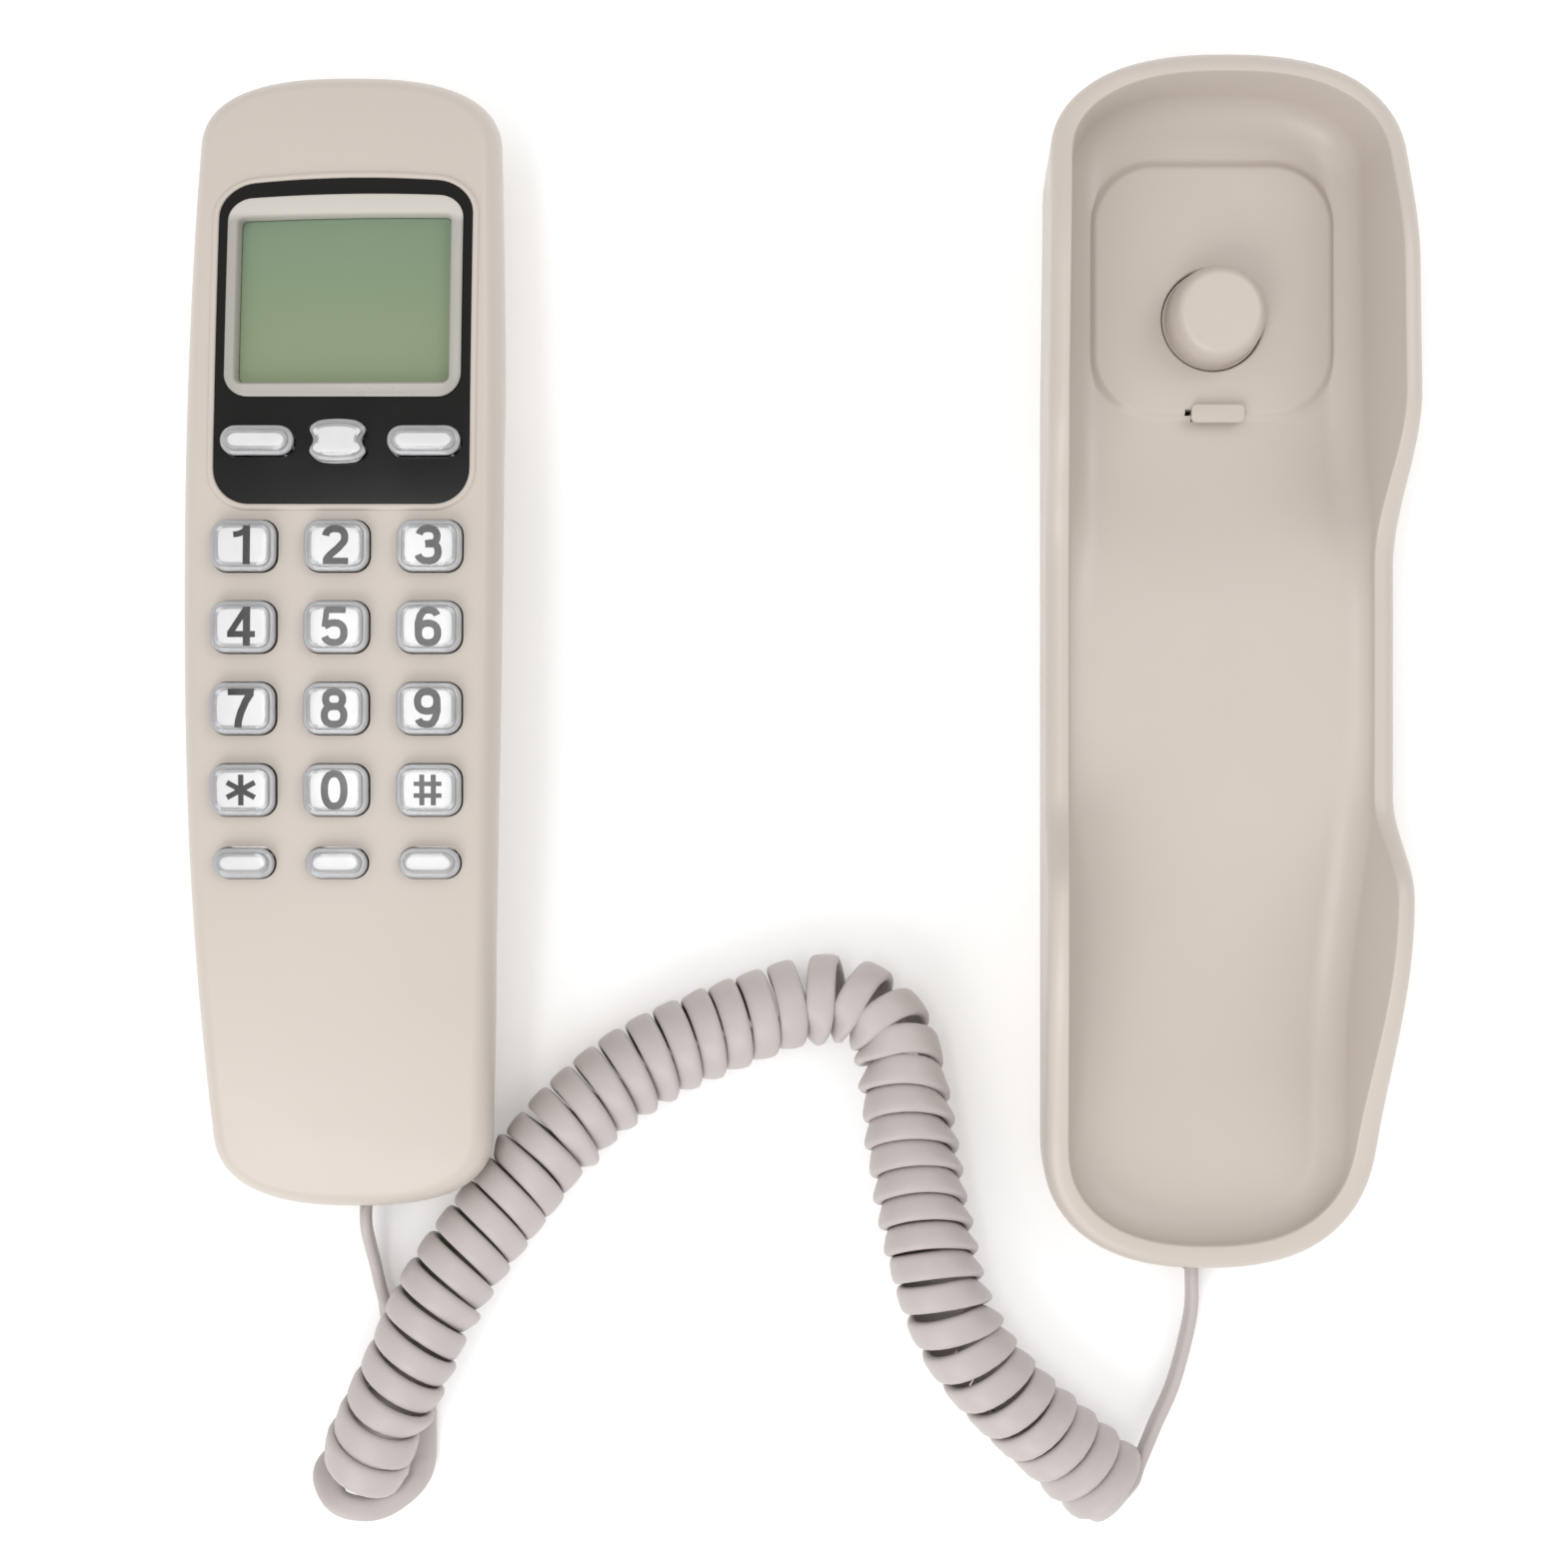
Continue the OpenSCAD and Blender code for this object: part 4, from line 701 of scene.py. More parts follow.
class Base:
    """Heights and outlines of the base, in millimetres."""

    def __init__(self):
        take_sizes(self, settings().base)
        self.slope = self.draft / 1000
        self.top, self.bottom = BASE_HIGH.y / MM, BASE_LOW.y / MM
        top, bottom = self.top, self.bottom
        self.rim_end_top = self.rim_ear - 9
        self.side_top, self.side_bottom = top - 19, bottom + 23
        self.cap_top = top - self.slope * self.rim_end_top - self.side_top
        self.cap_bottom = self.side_bottom - bottom - self.slope * self.rim_end
        self.rim_knots = [(top, self.rim_end_top), (top - 5, self.rim_end_top + 0.5),
                          (top - 38, self.rim_ear), (top - 59, self.rim_ear), (top - 87, self.rim_waist),
                          (bottom + 84, self.rim_waist), (bottom + 67, self.rim_mouth),
                          (bottom + 6, self.rim_end), (bottom, self.rim_end)]
        self.floor_knots = [(top - 60, self.floor_ear), (top - 96, self.floor_waist),
                            (bottom + 100, self.floor_waist), (bottom + 35, self.floor_mouth)]
        self.pad_y = top - 37.8
        self.pad_len = self.pad_w + 1.7
        self.pad_r = 11
        self.pad_z = self.floor_ear + self.pad_h
        self.hook_y = self.pad_y - 5.3

    def rim(self, y):
        return ease(y, self.rim_knots)

    def floor(self, y):
        return ease(y, self.floor_knots)

    def half(self, y):
        """Half the foot's width, a little narrower towards the ear end."""
        return self.foot_w / 2 - 0.5 * np.clip((y - (self.top - 59)) / 38, 0, 1)

    def outer(self, z):
        """How far the outer wall stands out from the foot at a height."""
        return self.slope * z

    def inner(self, z):
        """Where the tray's wall lies from the foot's outline at a height."""
        return 0.121 * (z - 24) - 2.25

    def ring(self, z, out):
        """A ring at height z(y), moved out from the foot by out(z)."""
        p = plan_ring(self.half, self.side_top, self.side_bottom, self.cap_top, self.cap_bottom, 2.4,
                      lambda y: -out(z(y)))
        return np.column_stack([p, z(p[:, 1]) * np.ones(len(p))])

    def rings(self):
        """From the tray's floor up its wall, over the rim, down the outer wall and along the inside."""
        rim, floor, inner, outer, wall = self.rim, self.floor, self.inner, self.outer, self.wall
        rim_round, foot_round = 0.4, 0.6
        made = []

        def fillet_h(y):
            return np.minimum(self.fillet, 0.75 * (rim(y) - floor(y)))

        def flat(height):
            return lambda y: height + 0 * y

        def turn(first, steps, z, out):
            """Rings round a corner; z and out also take 1 - sin and 1 - cos of each ring's angle."""
            for a in np.radians(np.linspace(first, 90, steps)):
                s, c = 1 - math.sin(a), 1 - math.cos(a)
                made.append(self.ring(lambda y: z(y, s, c), lambda h: out(h, s, c)))

        turn(0, 10, lambda y, s, c: floor(y) + fillet_h(y) * c, lambda z, s, c: inner(z) - self.fillet * s)
        turn(0, 5, lambda y, s, c: rim(y) - rim_round * s, lambda z, s, c: inner(z) + rim_round * c)
        turn(8, 10, lambda y, s, c: rim(y) - self.lip * c, lambda z, s, c: outer(z) - self.lip * s)
        for z, out in ((lambda y: (rim(y) - self.lip) * 0.5, outer), (flat(foot_round), outer),
                       (flat(0.15), lambda z: outer(z) - 0.2), (flat(0.0), lambda z: -foot_round),
                       (flat(0.0), lambda z: -wall), (lambda y: floor(y) - wall - 1, lambda z: -wall),
                       (lambda y: floor(y) - wall, lambda z: -wall - 1)):
            made.append(self.ring(z, out))
        return made


# ---------- the handset's shape ----------

class Handset:
    """Heights and outlines of the handset, in millimetres and in its own plan coordinates."""

    shell = 2.2
    panel_r = 6
    key_shift = -0.1
    cut_low, cut_high = 22, 40

    def __init__(self):
        take_sizes(self, settings().handset)
        self.x = (HANDSET_LOW.x + HANDSET_HIGH.x) / 2 / MM
        self.y = (HANDSET_LOW.y + HANDSET_HIGH.y) / 2 / MM
        self.top, self.bottom = self.length / 2, -self.length / 2
        self.panel_x, self.panel_y = 0.35, self.top - 47.15
        self.frame_y = self.panel_y + 7.3
        self.function_y = self.panel_y - self.panel_len / 2 + 10.6
        self.row_y = self.panel_y - self.panel_len / 2 - 7.1
        self.low_y = self.row_y - 3 * self.pitch_y - 12.2
        self.ear_y = self.top - 33
        self.mic_y = self.bottom + 22.6
        self.screw_ys = [self.bottom + 47, self.row_y + self.key_h / 2 + 4.5]
        self.under_knots = [(self.top - 53, 0), (self.top - 77, self.grip_under),
                            (self.bottom + 58, self.grip_under), (self.bottom + 29, 0)]

    def bow(self, y, mid, ear_r, mouth_r):
        d = np.asarray(y, float) - mid
        return d * d / (2 * np.where(d > 0, ear_r, mouth_r))

    def face(self, y):
        return self.face_top - self.bow(y, -18.4, 720, 240)

    def side(self, y):
        return self.face(y) - self.edge_down

    def half(self, y):
        return self.width / 2 - self.bow(y, 27.6, 1560, 2290)

    def under(self, y):
        return ease(y, self.under_knots)

    def ring(self, inset, z):
        cap_ear, cap_mouth = 14, 15
        p = plan_ring(self.half, self.top - cap_ear, self.bottom + cap_mouth, cap_ear, cap_mouth, 2.6,
                      lambda y: inset + 0 * y)
        return np.column_stack([p, z(p[:, 1])]) + [self.x, self.y, 0]

    def edge(self, degrees, extra=0.0):
        """The face's rounded edge, 0 at the seam and 90 at the face."""
        a = math.radians(degrees)
        return self.ring(extra + self.edge_in * (1 - math.cos(a)),
                         lambda y: self.side(y) + (self.edge_down - extra) * math.sin(a))

    def back(self, inset, f, lift=0.0):
        """The back's wall at a share f of the height from the underside to the seam."""
        seam = 0.15
        return self.ring(inset, lambda y: (self.under(y) + lift
                                           + f * (self.side(y) - seam - self.under(y) - lift)))

    def keys(self):
        """Node name, legend, x, y, width, height, corner."""
        names = [f"key_{n}" for n in (*range(1, 10), "star", 0, "hash")]
        out = []
        for n, (name, legend) in enumerate(zip(names, "123456789*0#")):
            out.append((name, legend, self.key_shift + (n % 3 - 1) * self.pitch_x,
                        self.row_y - (n // 3) * self.pitch_y, self.key_w, self.key_h, 2.6))
        low_h = self.key_h - 3.6
        for c, name in enumerate(("key_delete", "key_set", "key_redial")):
            out.append((name, "", self.key_shift + (c - 1) * self.pitch_x, self.low_y,
                        self.key_w - 0.6, low_h, low_h / 2 - 0.05))
        for name, x, wider, h in (("key_up", -13.5, 1.4, 5.2), ("key_out", 0, -0.6, 7.4),
                                  ("key_down", 14.4, 1.4, 5.2)):
            out.append((name, "", self.key_shift + x, self.function_y, self.key_w + wider, h, 2.5))
        return out

    def panel_ring(self, y, w, h, r, up):
        """A rounded ring on the panel about height y of the plan, up above the face."""
        out = []
        for ax, ay in split_edges(rounded(w, h, r, 10), lambda dx, dy: 24 if math.hypot(dx, dy) > 5 else 1):
            px = self.panel_x + ax
            py = self.bowed(px, y + ay)
            out.append((self.x + px, self.y + py, float(self.face(py)) + up))
        return out

    @staticmethod
    def pinch(name):
        """How far a key's sides are drawn in at the middle, and its ends bowed."""
        return (0.21, 0.2) if name == "key_out" else (0.0, 0.0)

    def key_outline(self, name, x, y, w, h, r):
        """The outline of a key's hole, 0.1 mm off the key."""
        pinch, bulge = self.pinch(name)
        outline = split_edges(rounded(w + 0.2, h + 0.2, r + 0.1),
                              lambda dx, dy: 12 if pinch and math.hypot(dx, dy) > 1 else 1)
        out = []
        for px, py in outline:
            dip = 1 - min(1.0, abs(PINCH_REACHES * py / h)) ** 2
            out.append((x + px * (1 - pinch * dip * dip), y + py * (1 - bulge * (2 * px / w) ** 2)))
        return out

    def openings(self, in_panel=False):
        """Solids that cut the window and the keys' holes, or only those that go through the panel."""
        window = [(self.panel_x + x, self.frame_y + y)
                  for x, y in rounded(self.window_w + 3, self.window_h + 3, 1.5)]
        holes = [self.key_outline(name, x, y, w, h, r) for name, _, x, y, w, h, r in self.keys()
                 if y == self.function_y or not in_panel]
        return [self.placed(prism("opening", outline, self.cut_low, self.cut_high))
                for outline in [window, *holes]]

    def placed(self, mesh):
        mesh.transform(Matrix.Translation((self.x * MM, self.y * MM, 0)))
        return mesh

    def bowed(self, x, y):
        """Where a point of the panel lies in y: its upper edge arches and its display tilts a little."""
        across = (x - self.panel_x) / (self.panel_w / 2)
        up = (y - self.panel_y) / (self.panel_len / 2)
        arch = 1.3 * across * across * max(0.0, up) ** 4
        return y - arch + 0.4 * across * min(1.0, max(0.0, (up + 0.35) / 0.4))

    def face_slab(self, name, x, y, w, h, r, lo, hi):
        """A slab that follows the face over a rounded rectangle, from lo to hi above it."""
        outline = split_edges(rounded(w, h, r, 10),
                              lambda dx, dy: max(1, int(dy / (h / 28)), int(dx / 1.5)))
        mesh = strip_slab(name, [(x + px, y + py) for px, py in outline],
                          lambda v: self.face(v) + lo, lambda v: self.face(v) + hi)
        for v in mesh.vertices:
            was = v.co.y / MM
            now = self.bowed(v.co.x / MM, was)
            v.co.y = now * MM
            v.co.z += float(self.face(now) - self.face(was)) * MM
        return self.placed(mesh)


def strip_slab(name, outline, low, high):
    """A slab over an outline, with its top and bottom split into strips of one height of y."""
    mesh = prism(name, outline, low, high)
    with edited(mesh) as bm:
        ys = sorted({round(v.co.y, 7) for v in bm.verts})
        for y in ys[1:-1][::2]:
            geometry = bm.verts[:] + bm.edges[:] + bm.faces[:]
            bmesh.ops.bisect_plane(bm, geom=geometry, dist=1e-8, plane_co=(0, y, 0), plane_no=(0, 1, 0))
        for v in bm.verts:
            heights = [float(z(v.co.y / MM)) * MM for z in (low, high)]
            v.co.z = min(heights, key=lambda height: abs(v.co.z - height))
        bmesh.ops.recalc_face_normals(bm, faces=bm.faces)
    return mesh


# ---------- the cord's route ----------

# Points of the coil's axis in millimetres, each with the distance between its curls there, which is
# scaled so that the set number of curls fits
CURL_ROUTE = [
    (-150.3, -140.4, 9.9, 5.4), (-148.4, -135.2, 10.4, 5.5), (-146.1, -128.6, 10.7, 5.5),
    (-143.1, -122.2, 10.7, 5.5), (-139.9, -116, 10.5, 5.5), (-136.6, -109.8, 10, 5.5),
    (-132.8, -103.9, 9.4, 5.6), (-128.7, -98.3, 8.8, 5.6), (-124.4, -92.8, 8.4, 5.5),
    (-120.1, -87.3, 8.3, 5.4), (-116, -81.7, 8.3, 5.4), (-111.1, -76.7, 8.3, 5.4),
    (-105.8, -72.1, 8.3, 5.3), (-100.1, -68.2, 8.3, 5.3), (-93.8, -65, 8.3, 5.3), (-87.3, -62.4, 8.3, 5.3),
    (-80.6, -60, 8.3, 5.4), (-75.4, -58.3, 8.2, 5.7), (-70.6, -57.1, 8.1, 6.3), (-65.1, -57.2, 8.1, 6.9),
    (-60.1, -59.5, 8.1, 7), (-56.3, -63.5, 8.1, 6.7), (-54.4, -68.7, 8.3, 5.7), (-53.4, -76, 8.5, 5),
    (-52.2, -84.2, 8.5, 5), (-50.9, -91.1, 8.5, 5), (-49.6, -98, 8.5, 5), (-48.1, -104.9, 8.4, 5.2),
    (-46.1, -111.6, 8.3, 5.8), (-43.2, -117.9, 8.1, 6), (-39.1, -123.5, 8.1, 6), (-34.3, -128.6, 8.2, 5.7),
    (-29.1, -133.4, 8.3, 5.3), (-23.7, -137.9, 8.4, 5.1), (-17.6, -143, 8.5, 5)]
# How far the tops of the curls lean ahead along the route, in millimetres
CURL_LEAN = [-1, -1, -0.8, -0.3, 0.3, 0.8, 1.1, 1.4, 1.7, 2, 2.2, 2.2, 2.2, 2.1, 2, 1.9, 1.8, 1.5, 0.8, 0,
             -1, -2, -2.7, -3.1, -3.2, -3.2, -3, -2.2, -1.2, -0.2, 0.6, 1.2, 1.6, 1.9, 2]
HANDSET_JOINT = np.array((-140.3, -136, 1.3))
BASE_JOINT = np.array((-9.9, -137.6, 4.8))
BASE_JOINT_WAY = np.array((2.1, 4.4, -1))
HANDSET_ROUTE = [(-149.3, -101.5, 5), (-148.7, -106, 2.4), (-147.5, -111, 1.3),
                 (-145.6, -116.5, 1.25), (-143.3, -122, 1.25), (-141.3, -127.3, 1.3)]
LOOP_ROUTE = [(-141.4, -144.5, 2.6), (-145, -147.4, 5.2), (-149.8, -148.1, 7.2), (-154.8, -146.6, 7.4),
              (-157, -142.6, 5.4), (-155, -140.1, 3.3)]
TAIL_ROUTE = [(-20.2, -146.9, 3.6), (-20.9, -148.4, 7.6), (-19.7, -147.7, 10.8), (-17.3, -146.2, 11.9),
              (-14.9, -144.9, 10), (-13, -143.4, 7.5)]
BASE_ROUTE = [(-1.5, -113, 3.4), (-2.8, -120, 3), (-5, -127.4, 3.2)]
PLUG_END = np.array((-149.57, -92.7, 7.85))
LEAD_LIFTS_FROM = (-147.2, -112.6, 0)
LEAD_LIFT_WAY = (-9.8, 6.1, 0)
RELIEF_END = np.array((-1.6, -105.8, 4.2))
RELIEF_HALF = 3.6
DOWN = np.array((0.0, -1.0, 0.0))
UPRIGHT = np.array((0.0, 0.0, -1.0))
PER_CURL = 24


def near(points, x, y, spread):
    """One at a place in plan, falling to nothing away from it."""
    return np.exp(-((points[:, 0] - x) ** 2 + (points[:, 1] - y) ** 2) / spread)


def spline(points, n):
    """A smooth curve through points, n steps between each two, ending on the last."""
    p = np.asarray(points, float)
    f = np.arange(n)[:, None] / n
    out = []
    for i in range(len(p) - 1):
        a, b, c, d = p[max(i - 1, 0)], p[i], p[i + 1], p[min(i + 2, len(p) - 1)]
        out.append(0.5 * (2 * b + (c - a) * f + (2 * a - 5 * b + 4 * c - d) * f ** 2
                          + (3 * b - a - 3 * c + d) * f ** 3))
    return np.concatenate(out + [p[-1:]])


def coil(curl_r, curls, cord_w, axis_steps=6):
    """Middle of the cord and its width direction, all along the curls."""
    axis = spline(CURL_ROUTE, axis_steps)
    place, spacing = axis[:, :3], axis[:, 3:]
    n = len(axis)
    step = np.linalg.norm(np.diff(place, axis=0), axis=1)
    wound = np.concatenate([[0], np.cumsum(step / (spacing[1:, 0] + spacing[:-1, 0]) * 2)])
    scale = curls / wound[-1]
    after, before = np.minimum(np.arange(n) + 1, n - 1), np.maximum(np.arange(n) - 1, 0)
    gap = place[after] - place[before]
    heading = unit(gap)
    bend = np.cross(heading[before], heading[after])[:, 2:] / np.linalg.norm(gap, axis=1)[:, None]

    turn = np.arange(int(curls * PER_CURL) + 1) / PER_CURL
    at = np.interp(turn, wound * scale, np.arange(n))
    i = np.minimum(at.astype(int), n - 2)
    f = (at - i)[:, None]

    def between(values):
        return values[i] * (1 - f) + values[i + 1] * f

    t = unit(between(heading))
    left = unit(np.cross([0, 0, 1], t))
    a = np.radians(-90 - 360 * turn)[:, None]
    out = left * np.cos(a) + np.cross(t, left) * np.sin(a)
    # The curls bunch outwards and smaller round the arch, and lie further over by the handset
    c = between(place)
    arch, over = near(c, -60, -61, 170)[:, None], near(c, -143, -125, 130)[:, None]
    c = c + arch * [0.8, 1.3, 0] + over * [1.1, 0, 0]
    r = curl_r - 0.8 * arch
    # A curl leans over where it has less room than the cord's width
    room = between(spacing) / scale * (1 - between(bend) * r * np.cos(a))
    lean = np.radians(np.clip(200 * (1 - room / (cord_w + 0.9)), 0, 64))
    tip = np.interp(at / axis_steps, np.arange(len(CURL_LEAN)), CURL_LEAN)[:, None] * np.sin(a)
    return c + out * r + t * tip, t * np.cos(lean) + out * np.sin(lean)


def lead_path(cord_w, thick):
    """The lead from the handset's plug: it stands on its edge where it shows and lies flat elsewhere."""
    lead = spline([PLUG_END, PLUG_END + DOWN * cord_w, *HANDSET_ROUTE, HANDSET_JOINT - DOWN * cord_w], 6)
    lead = np.concatenate([[PLUG_END - DOWN * s for s in (4.5, 2.5, 1.2)], lead])
    tilt = np.radians(82) * np.interp(lead[:, 1], [-119, -111.5, -94.2, -90.2], [0, 0.92, 1, 0])
    low = 0.2 + (cord_w * np.sin(tilt) + thick * np.cos(tilt)) / 2
    lead[:, 2] = (lead[:, 2] + low + np.hypot(lead[:, 2] - low, 0.5)) / 2
    along = unit(np.concatenate([lead[1:], lead[-1:]]) - np.concatenate([lead[:1], lead[:-1]]))
    flat = unit(np.cross([0, 0, 1], along))
    return lead, flat * np.cos(tilt)[:, None] + np.cross(along, flat) * np.sin(tilt)[:, None]


def loop_path(cord_w, end):
    """The loop by the handset; its outer edge hangs lower than its inner edge."""
    loop = spline([HANDSET_JOINT + DOWN * cord_w, *LOOP_ROUTE, end], 8)[:-1]
    nth = np.arange(len(loop))
    turn = np.radians(-280 * 3 * (nth / 8) / 22)
    drop = np.radians(-40) * np.interp(nth, [1, 7, 14, 22], [0, 1, 1, 0])
    return loop, np.column_stack([np.cos(turn) * np.cos(drop), np.sin(turn) * np.cos(drop), np.sin(drop)])


def tail_path(cord_w, start, hint):
    """The last turn before the base lead, and the base lead, which stands on its edge."""
    way = unit(BASE_JOINT_WAY)
    tail = spline([start, *TAIL_ROUTE, BASE_JOINT - way * cord_w], 6)[1:]
    base = spline([RELIEF_END + DOWN * 0.5, *BASE_ROUTE, BASE_JOINT + way * cord_w], 8)[::-1]
    base = np.concatenate([[BASE_JOINT], base, [RELIEF_END - DOWN * 1.5]])
    f = np.clip(((np.arange(len(tail)) + 1) / 3 - 5) / 7, 0, 1)[:, None]
    return tail, base, np.concatenate([hint * (1 - f) + UPRIGHT * f, [UPRIGHT] * len(base)])


def cord_path():
    """The whole cord from plug to strain relief: points, width directions and how far it is swollen."""
    curl_r, cord_w, thick = in_mm(settings().cord, "curl_r", "width", "thickness")
    lead, lead_hints = lead_path(cord_w, thick)
    curls, curl_hints = coil(curl_r, settings().cord.curls, cord_w)
    loop, loop_hints = loop_path(cord_w, curls[0])
    tail, base, end_hints = tail_path(cord_w, curls[-1], curl_hints[-1])
    points = np.concatenate([lead, [HANDSET_JOINT], loop, curls, tail, base])
    hints = np.concatenate([lead_hints, [[1.0, 0, 0]], loop_hints, curl_hints, end_hints])
    first = len(lead) + 1 + len(loop)
    last = first + len(curls) - 1
    # The joints of coil, loop and tail are rounded
    for start, end in ((first - 6, first + 4), (last - 4, last + len(tail))):
        for _ in range(10):
            points[start:end] = (points[start - 1:end - 1] + 2 * points[start:end]
                                 + points[start + 1:end + 1]) / 4
    # The cord looks wider in its curls than in its leads, and widest by the handset and round two bends
    nth = np.arange(len(curls))
    fuller = np.zeros(len(points))
    fuller[first:last + 1] = (np.clip(np.minimum(nth + 16, nth[::-1]) / 8, 0, 1)
                              + 1.7 * np.clip(2.5 - nth / PER_CURL, 0, 1)
                              + 1.5 * near(curls, -60, -63, 250) + 1.7 * near(curls, -42.5, -120, 90))
    fuller[first - 24:first] = np.linspace(0, fuller[first], 24) + 1.5 * np.sin(np.linspace(0, math.pi, 24))
    return points, hints, fuller


def flat_tube(name, points, hints, widths, thickness, sides=18, squareness=3.0):
    """A flat cord with rounded edges along points, its widths along hints."""
    a = 2 * np.pi * np.arange(sides) / sides
    across, over = (np.sign(v) * np.abs(v) ** (2 / squareness) / 2 for v in (np.cos(a), np.sin(a)))
    t = unit(np.concatenate([points[1:], points[-1:]]) - np.concatenate([points[:1], points[:-1]]))
    b = unit(hints - t * np.sum(hints * t, 1)[:, None])
    n = np.cross(b, t)
    return tube(name, [p + np.outer(across * w, bb) + np.outer(over * thickness, nn)
                       for p, bb, nn, w in zip(points, b, n, widths)])


# ---------- operators ----------

class PHONE_OT_stage(bpy.types.Operator):
    """Sets up the camera, the soft studio light and the pale floor"""
    bl_idname = "phone.stage"
    bl_label = "Stage"

    def execute(self, context):
        scene = context.scene
        focal_px, side_px = 2220, 1569
        data = bpy.data.cameras.new("camera")
        data.sensor_width = 36
        data.lens = data.sensor_width * focal_px / side_px
        data.clip_start, data.clip_end = 0.01, 20
        camera = bpy.data.objects.new("camera", data)
        camera.location = (-0.075, -0.0185, 0.404)
        scene.collection.objects.link(camera)
        scene.camera = camera
        scene.view_settings.view_transform = "Standard"
        scene.view_settings.look = "None"

        reach, floor_z = 3000, -0.3
        corners = [(reach * x, reach * y, floor_z) for x, y in ((-1, -1), (1, -1), (1, 1), (-1, 1))]
        floor = link("floor", mesh_from("floor", corners, [(0, 1, 2, 3)]))
        floor.data.materials.append(finish("floor_paper"))

        world = bpy.data.worlds.new("studio")
        world.use_nodes = True
        background = world.node_tree.nodes["Background"]
        background.inputs["Color"].default_value = (1.0, 0.99, 0.98, 1)
        background.inputs["Strength"].default_value = 0.84
        scene.world = world

        self.softbox("key_light", (0.75, 0.55, 1.05), (-0.06, -0.02, 0), (0.7, 0.7), 3.3)
        # A strip that mirrors in the tops of two columns of keys and not in the panel
        self.softbox("top_light", (-0.312, 0.0, 1.0), (-0.312, 0.0, 0), (0.13, 0.52), 1.2)
        self.softbox("fill_light", (-0.5, -0.95, 0.75), (-0.05, -0.02, 0), (0.8, 0.8), 6.4)
        return {"FINISHED"}

    @staticmethod
    def softbox(name, place, aim, size, power):
        light = bpy.data.lights.new(name, "AREA")
        light.shape = "RECTANGLE"
        light.size, light.size_y = size
        light.energy = power
        box = link(name, light)
        box.location = place
        box.rotation_mode = "QUATERNION"
        box.rotation_quaternion = (Vector(aim) - Vector(place)).to_track_quat("-Z", "Y")


class PHONE_OT_cord(bpy.types.Operator):
    """Makes the curly cord with its two straight leads"""
    bl_idname = "phone.cord"
    bl_label = "Curly cord"

    def execute(self, context):
        width, thickness, swell = in_mm(settings().cord, "width", "thickness", "swell")
        points, hints, fuller = cord_path()
        mesh = flat_tube("curly_cord", points, hints, width + swell * fuller, thickness)
        piece = finish_piece(link("curly_cord", mesh), finish("cord_vinyl"), None, "cord",
                             "cord_coil", "handset_lead", "base_lead", angle=60)
        # The lead rises with the handset, and the coil stays on the table
        start = Vector(LEAD_LIFTS_FROM) * MM
        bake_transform(piece, "root", "handset", start=start, end=start + Vector(LEAD_LIFT_WAY) * MM)
        return {"FINISHED"}


class PHONE_OT_base_shell(bpy.types.Operator):
    """Moulds the cradle tray with its wavy rim, raised pad and openings"""
    bl_idname = "phone.base_shell"
    bl_label = "Cradle tray"

    def execute(self, context):
        b = Base()
        piece = link("cradle_tray", skin("cradle_tray", b.rings()))
        pad = []
        for inset, z in ((-0.9, b.floor_ear - 0.8), (-0.9, b.floor_ear - 0.02), (-0.5, b.floor_ear + 0.08),
                         (0.0, b.floor_ear + 0.35), (0.5, b.pad_z - 0.3), (0.85, b.pad_z - 0.08),
                         (1.3, b.pad_z)):
            outline = rounded(b.pad_w - 2 * inset, b.pad_len - 2 * inset, b.pad_r - inset, 16)
            pad.append([(x, y + b.pad_y, z) for x, y in outline])
        carve(piece, [tube("pad", pad)], "UNION")

        inside, above = 2.5, 20
        hole_r = b.hook_d / 2 + 0.5
        rim_r = hole_r + 0.35
        slot = b.pad_y - b.pad_len / 2
        front = b.top - b.slope * b.rim_end_top - 0.2
        relief_x, _, relief_z = RELIEF_END
        hole = [(0, inside), (hole_r, inside), (hole_r, b.pad_z - 0.35), (hole_r + 0.1, b.pad_z - 0.12),
                (rim_r, b.pad_z + 0.05), (rim_r, above), (0, above)]
        carve(piece, [
            turned("hole", hole, (0, b.hook_y)),
            block("tab_slot", -3.7, slot - 0.85, inside, 4.85, slot + 1.05, above),
            block("jack_slot", -6.75, front - 14, 2.0, 6.75, front + 5, 11.65),
            block("relief_slot", relief_x - RELIEF_HALF, b.bottom - 0.8, -1,
                  relief_x + RELIEF_HALF, b.bottom + 3.4, relief_z + RELIEF_HALF)])
        carve(piece, [block("slot_end", -4.85, slot + 0.15, inside, -3.5, slot + 1.2, above)])
        finish_piece(piece, finish("shell_plastic"), "root", "shell", "base_shell", angle=30)
        return {"FINISHED"}


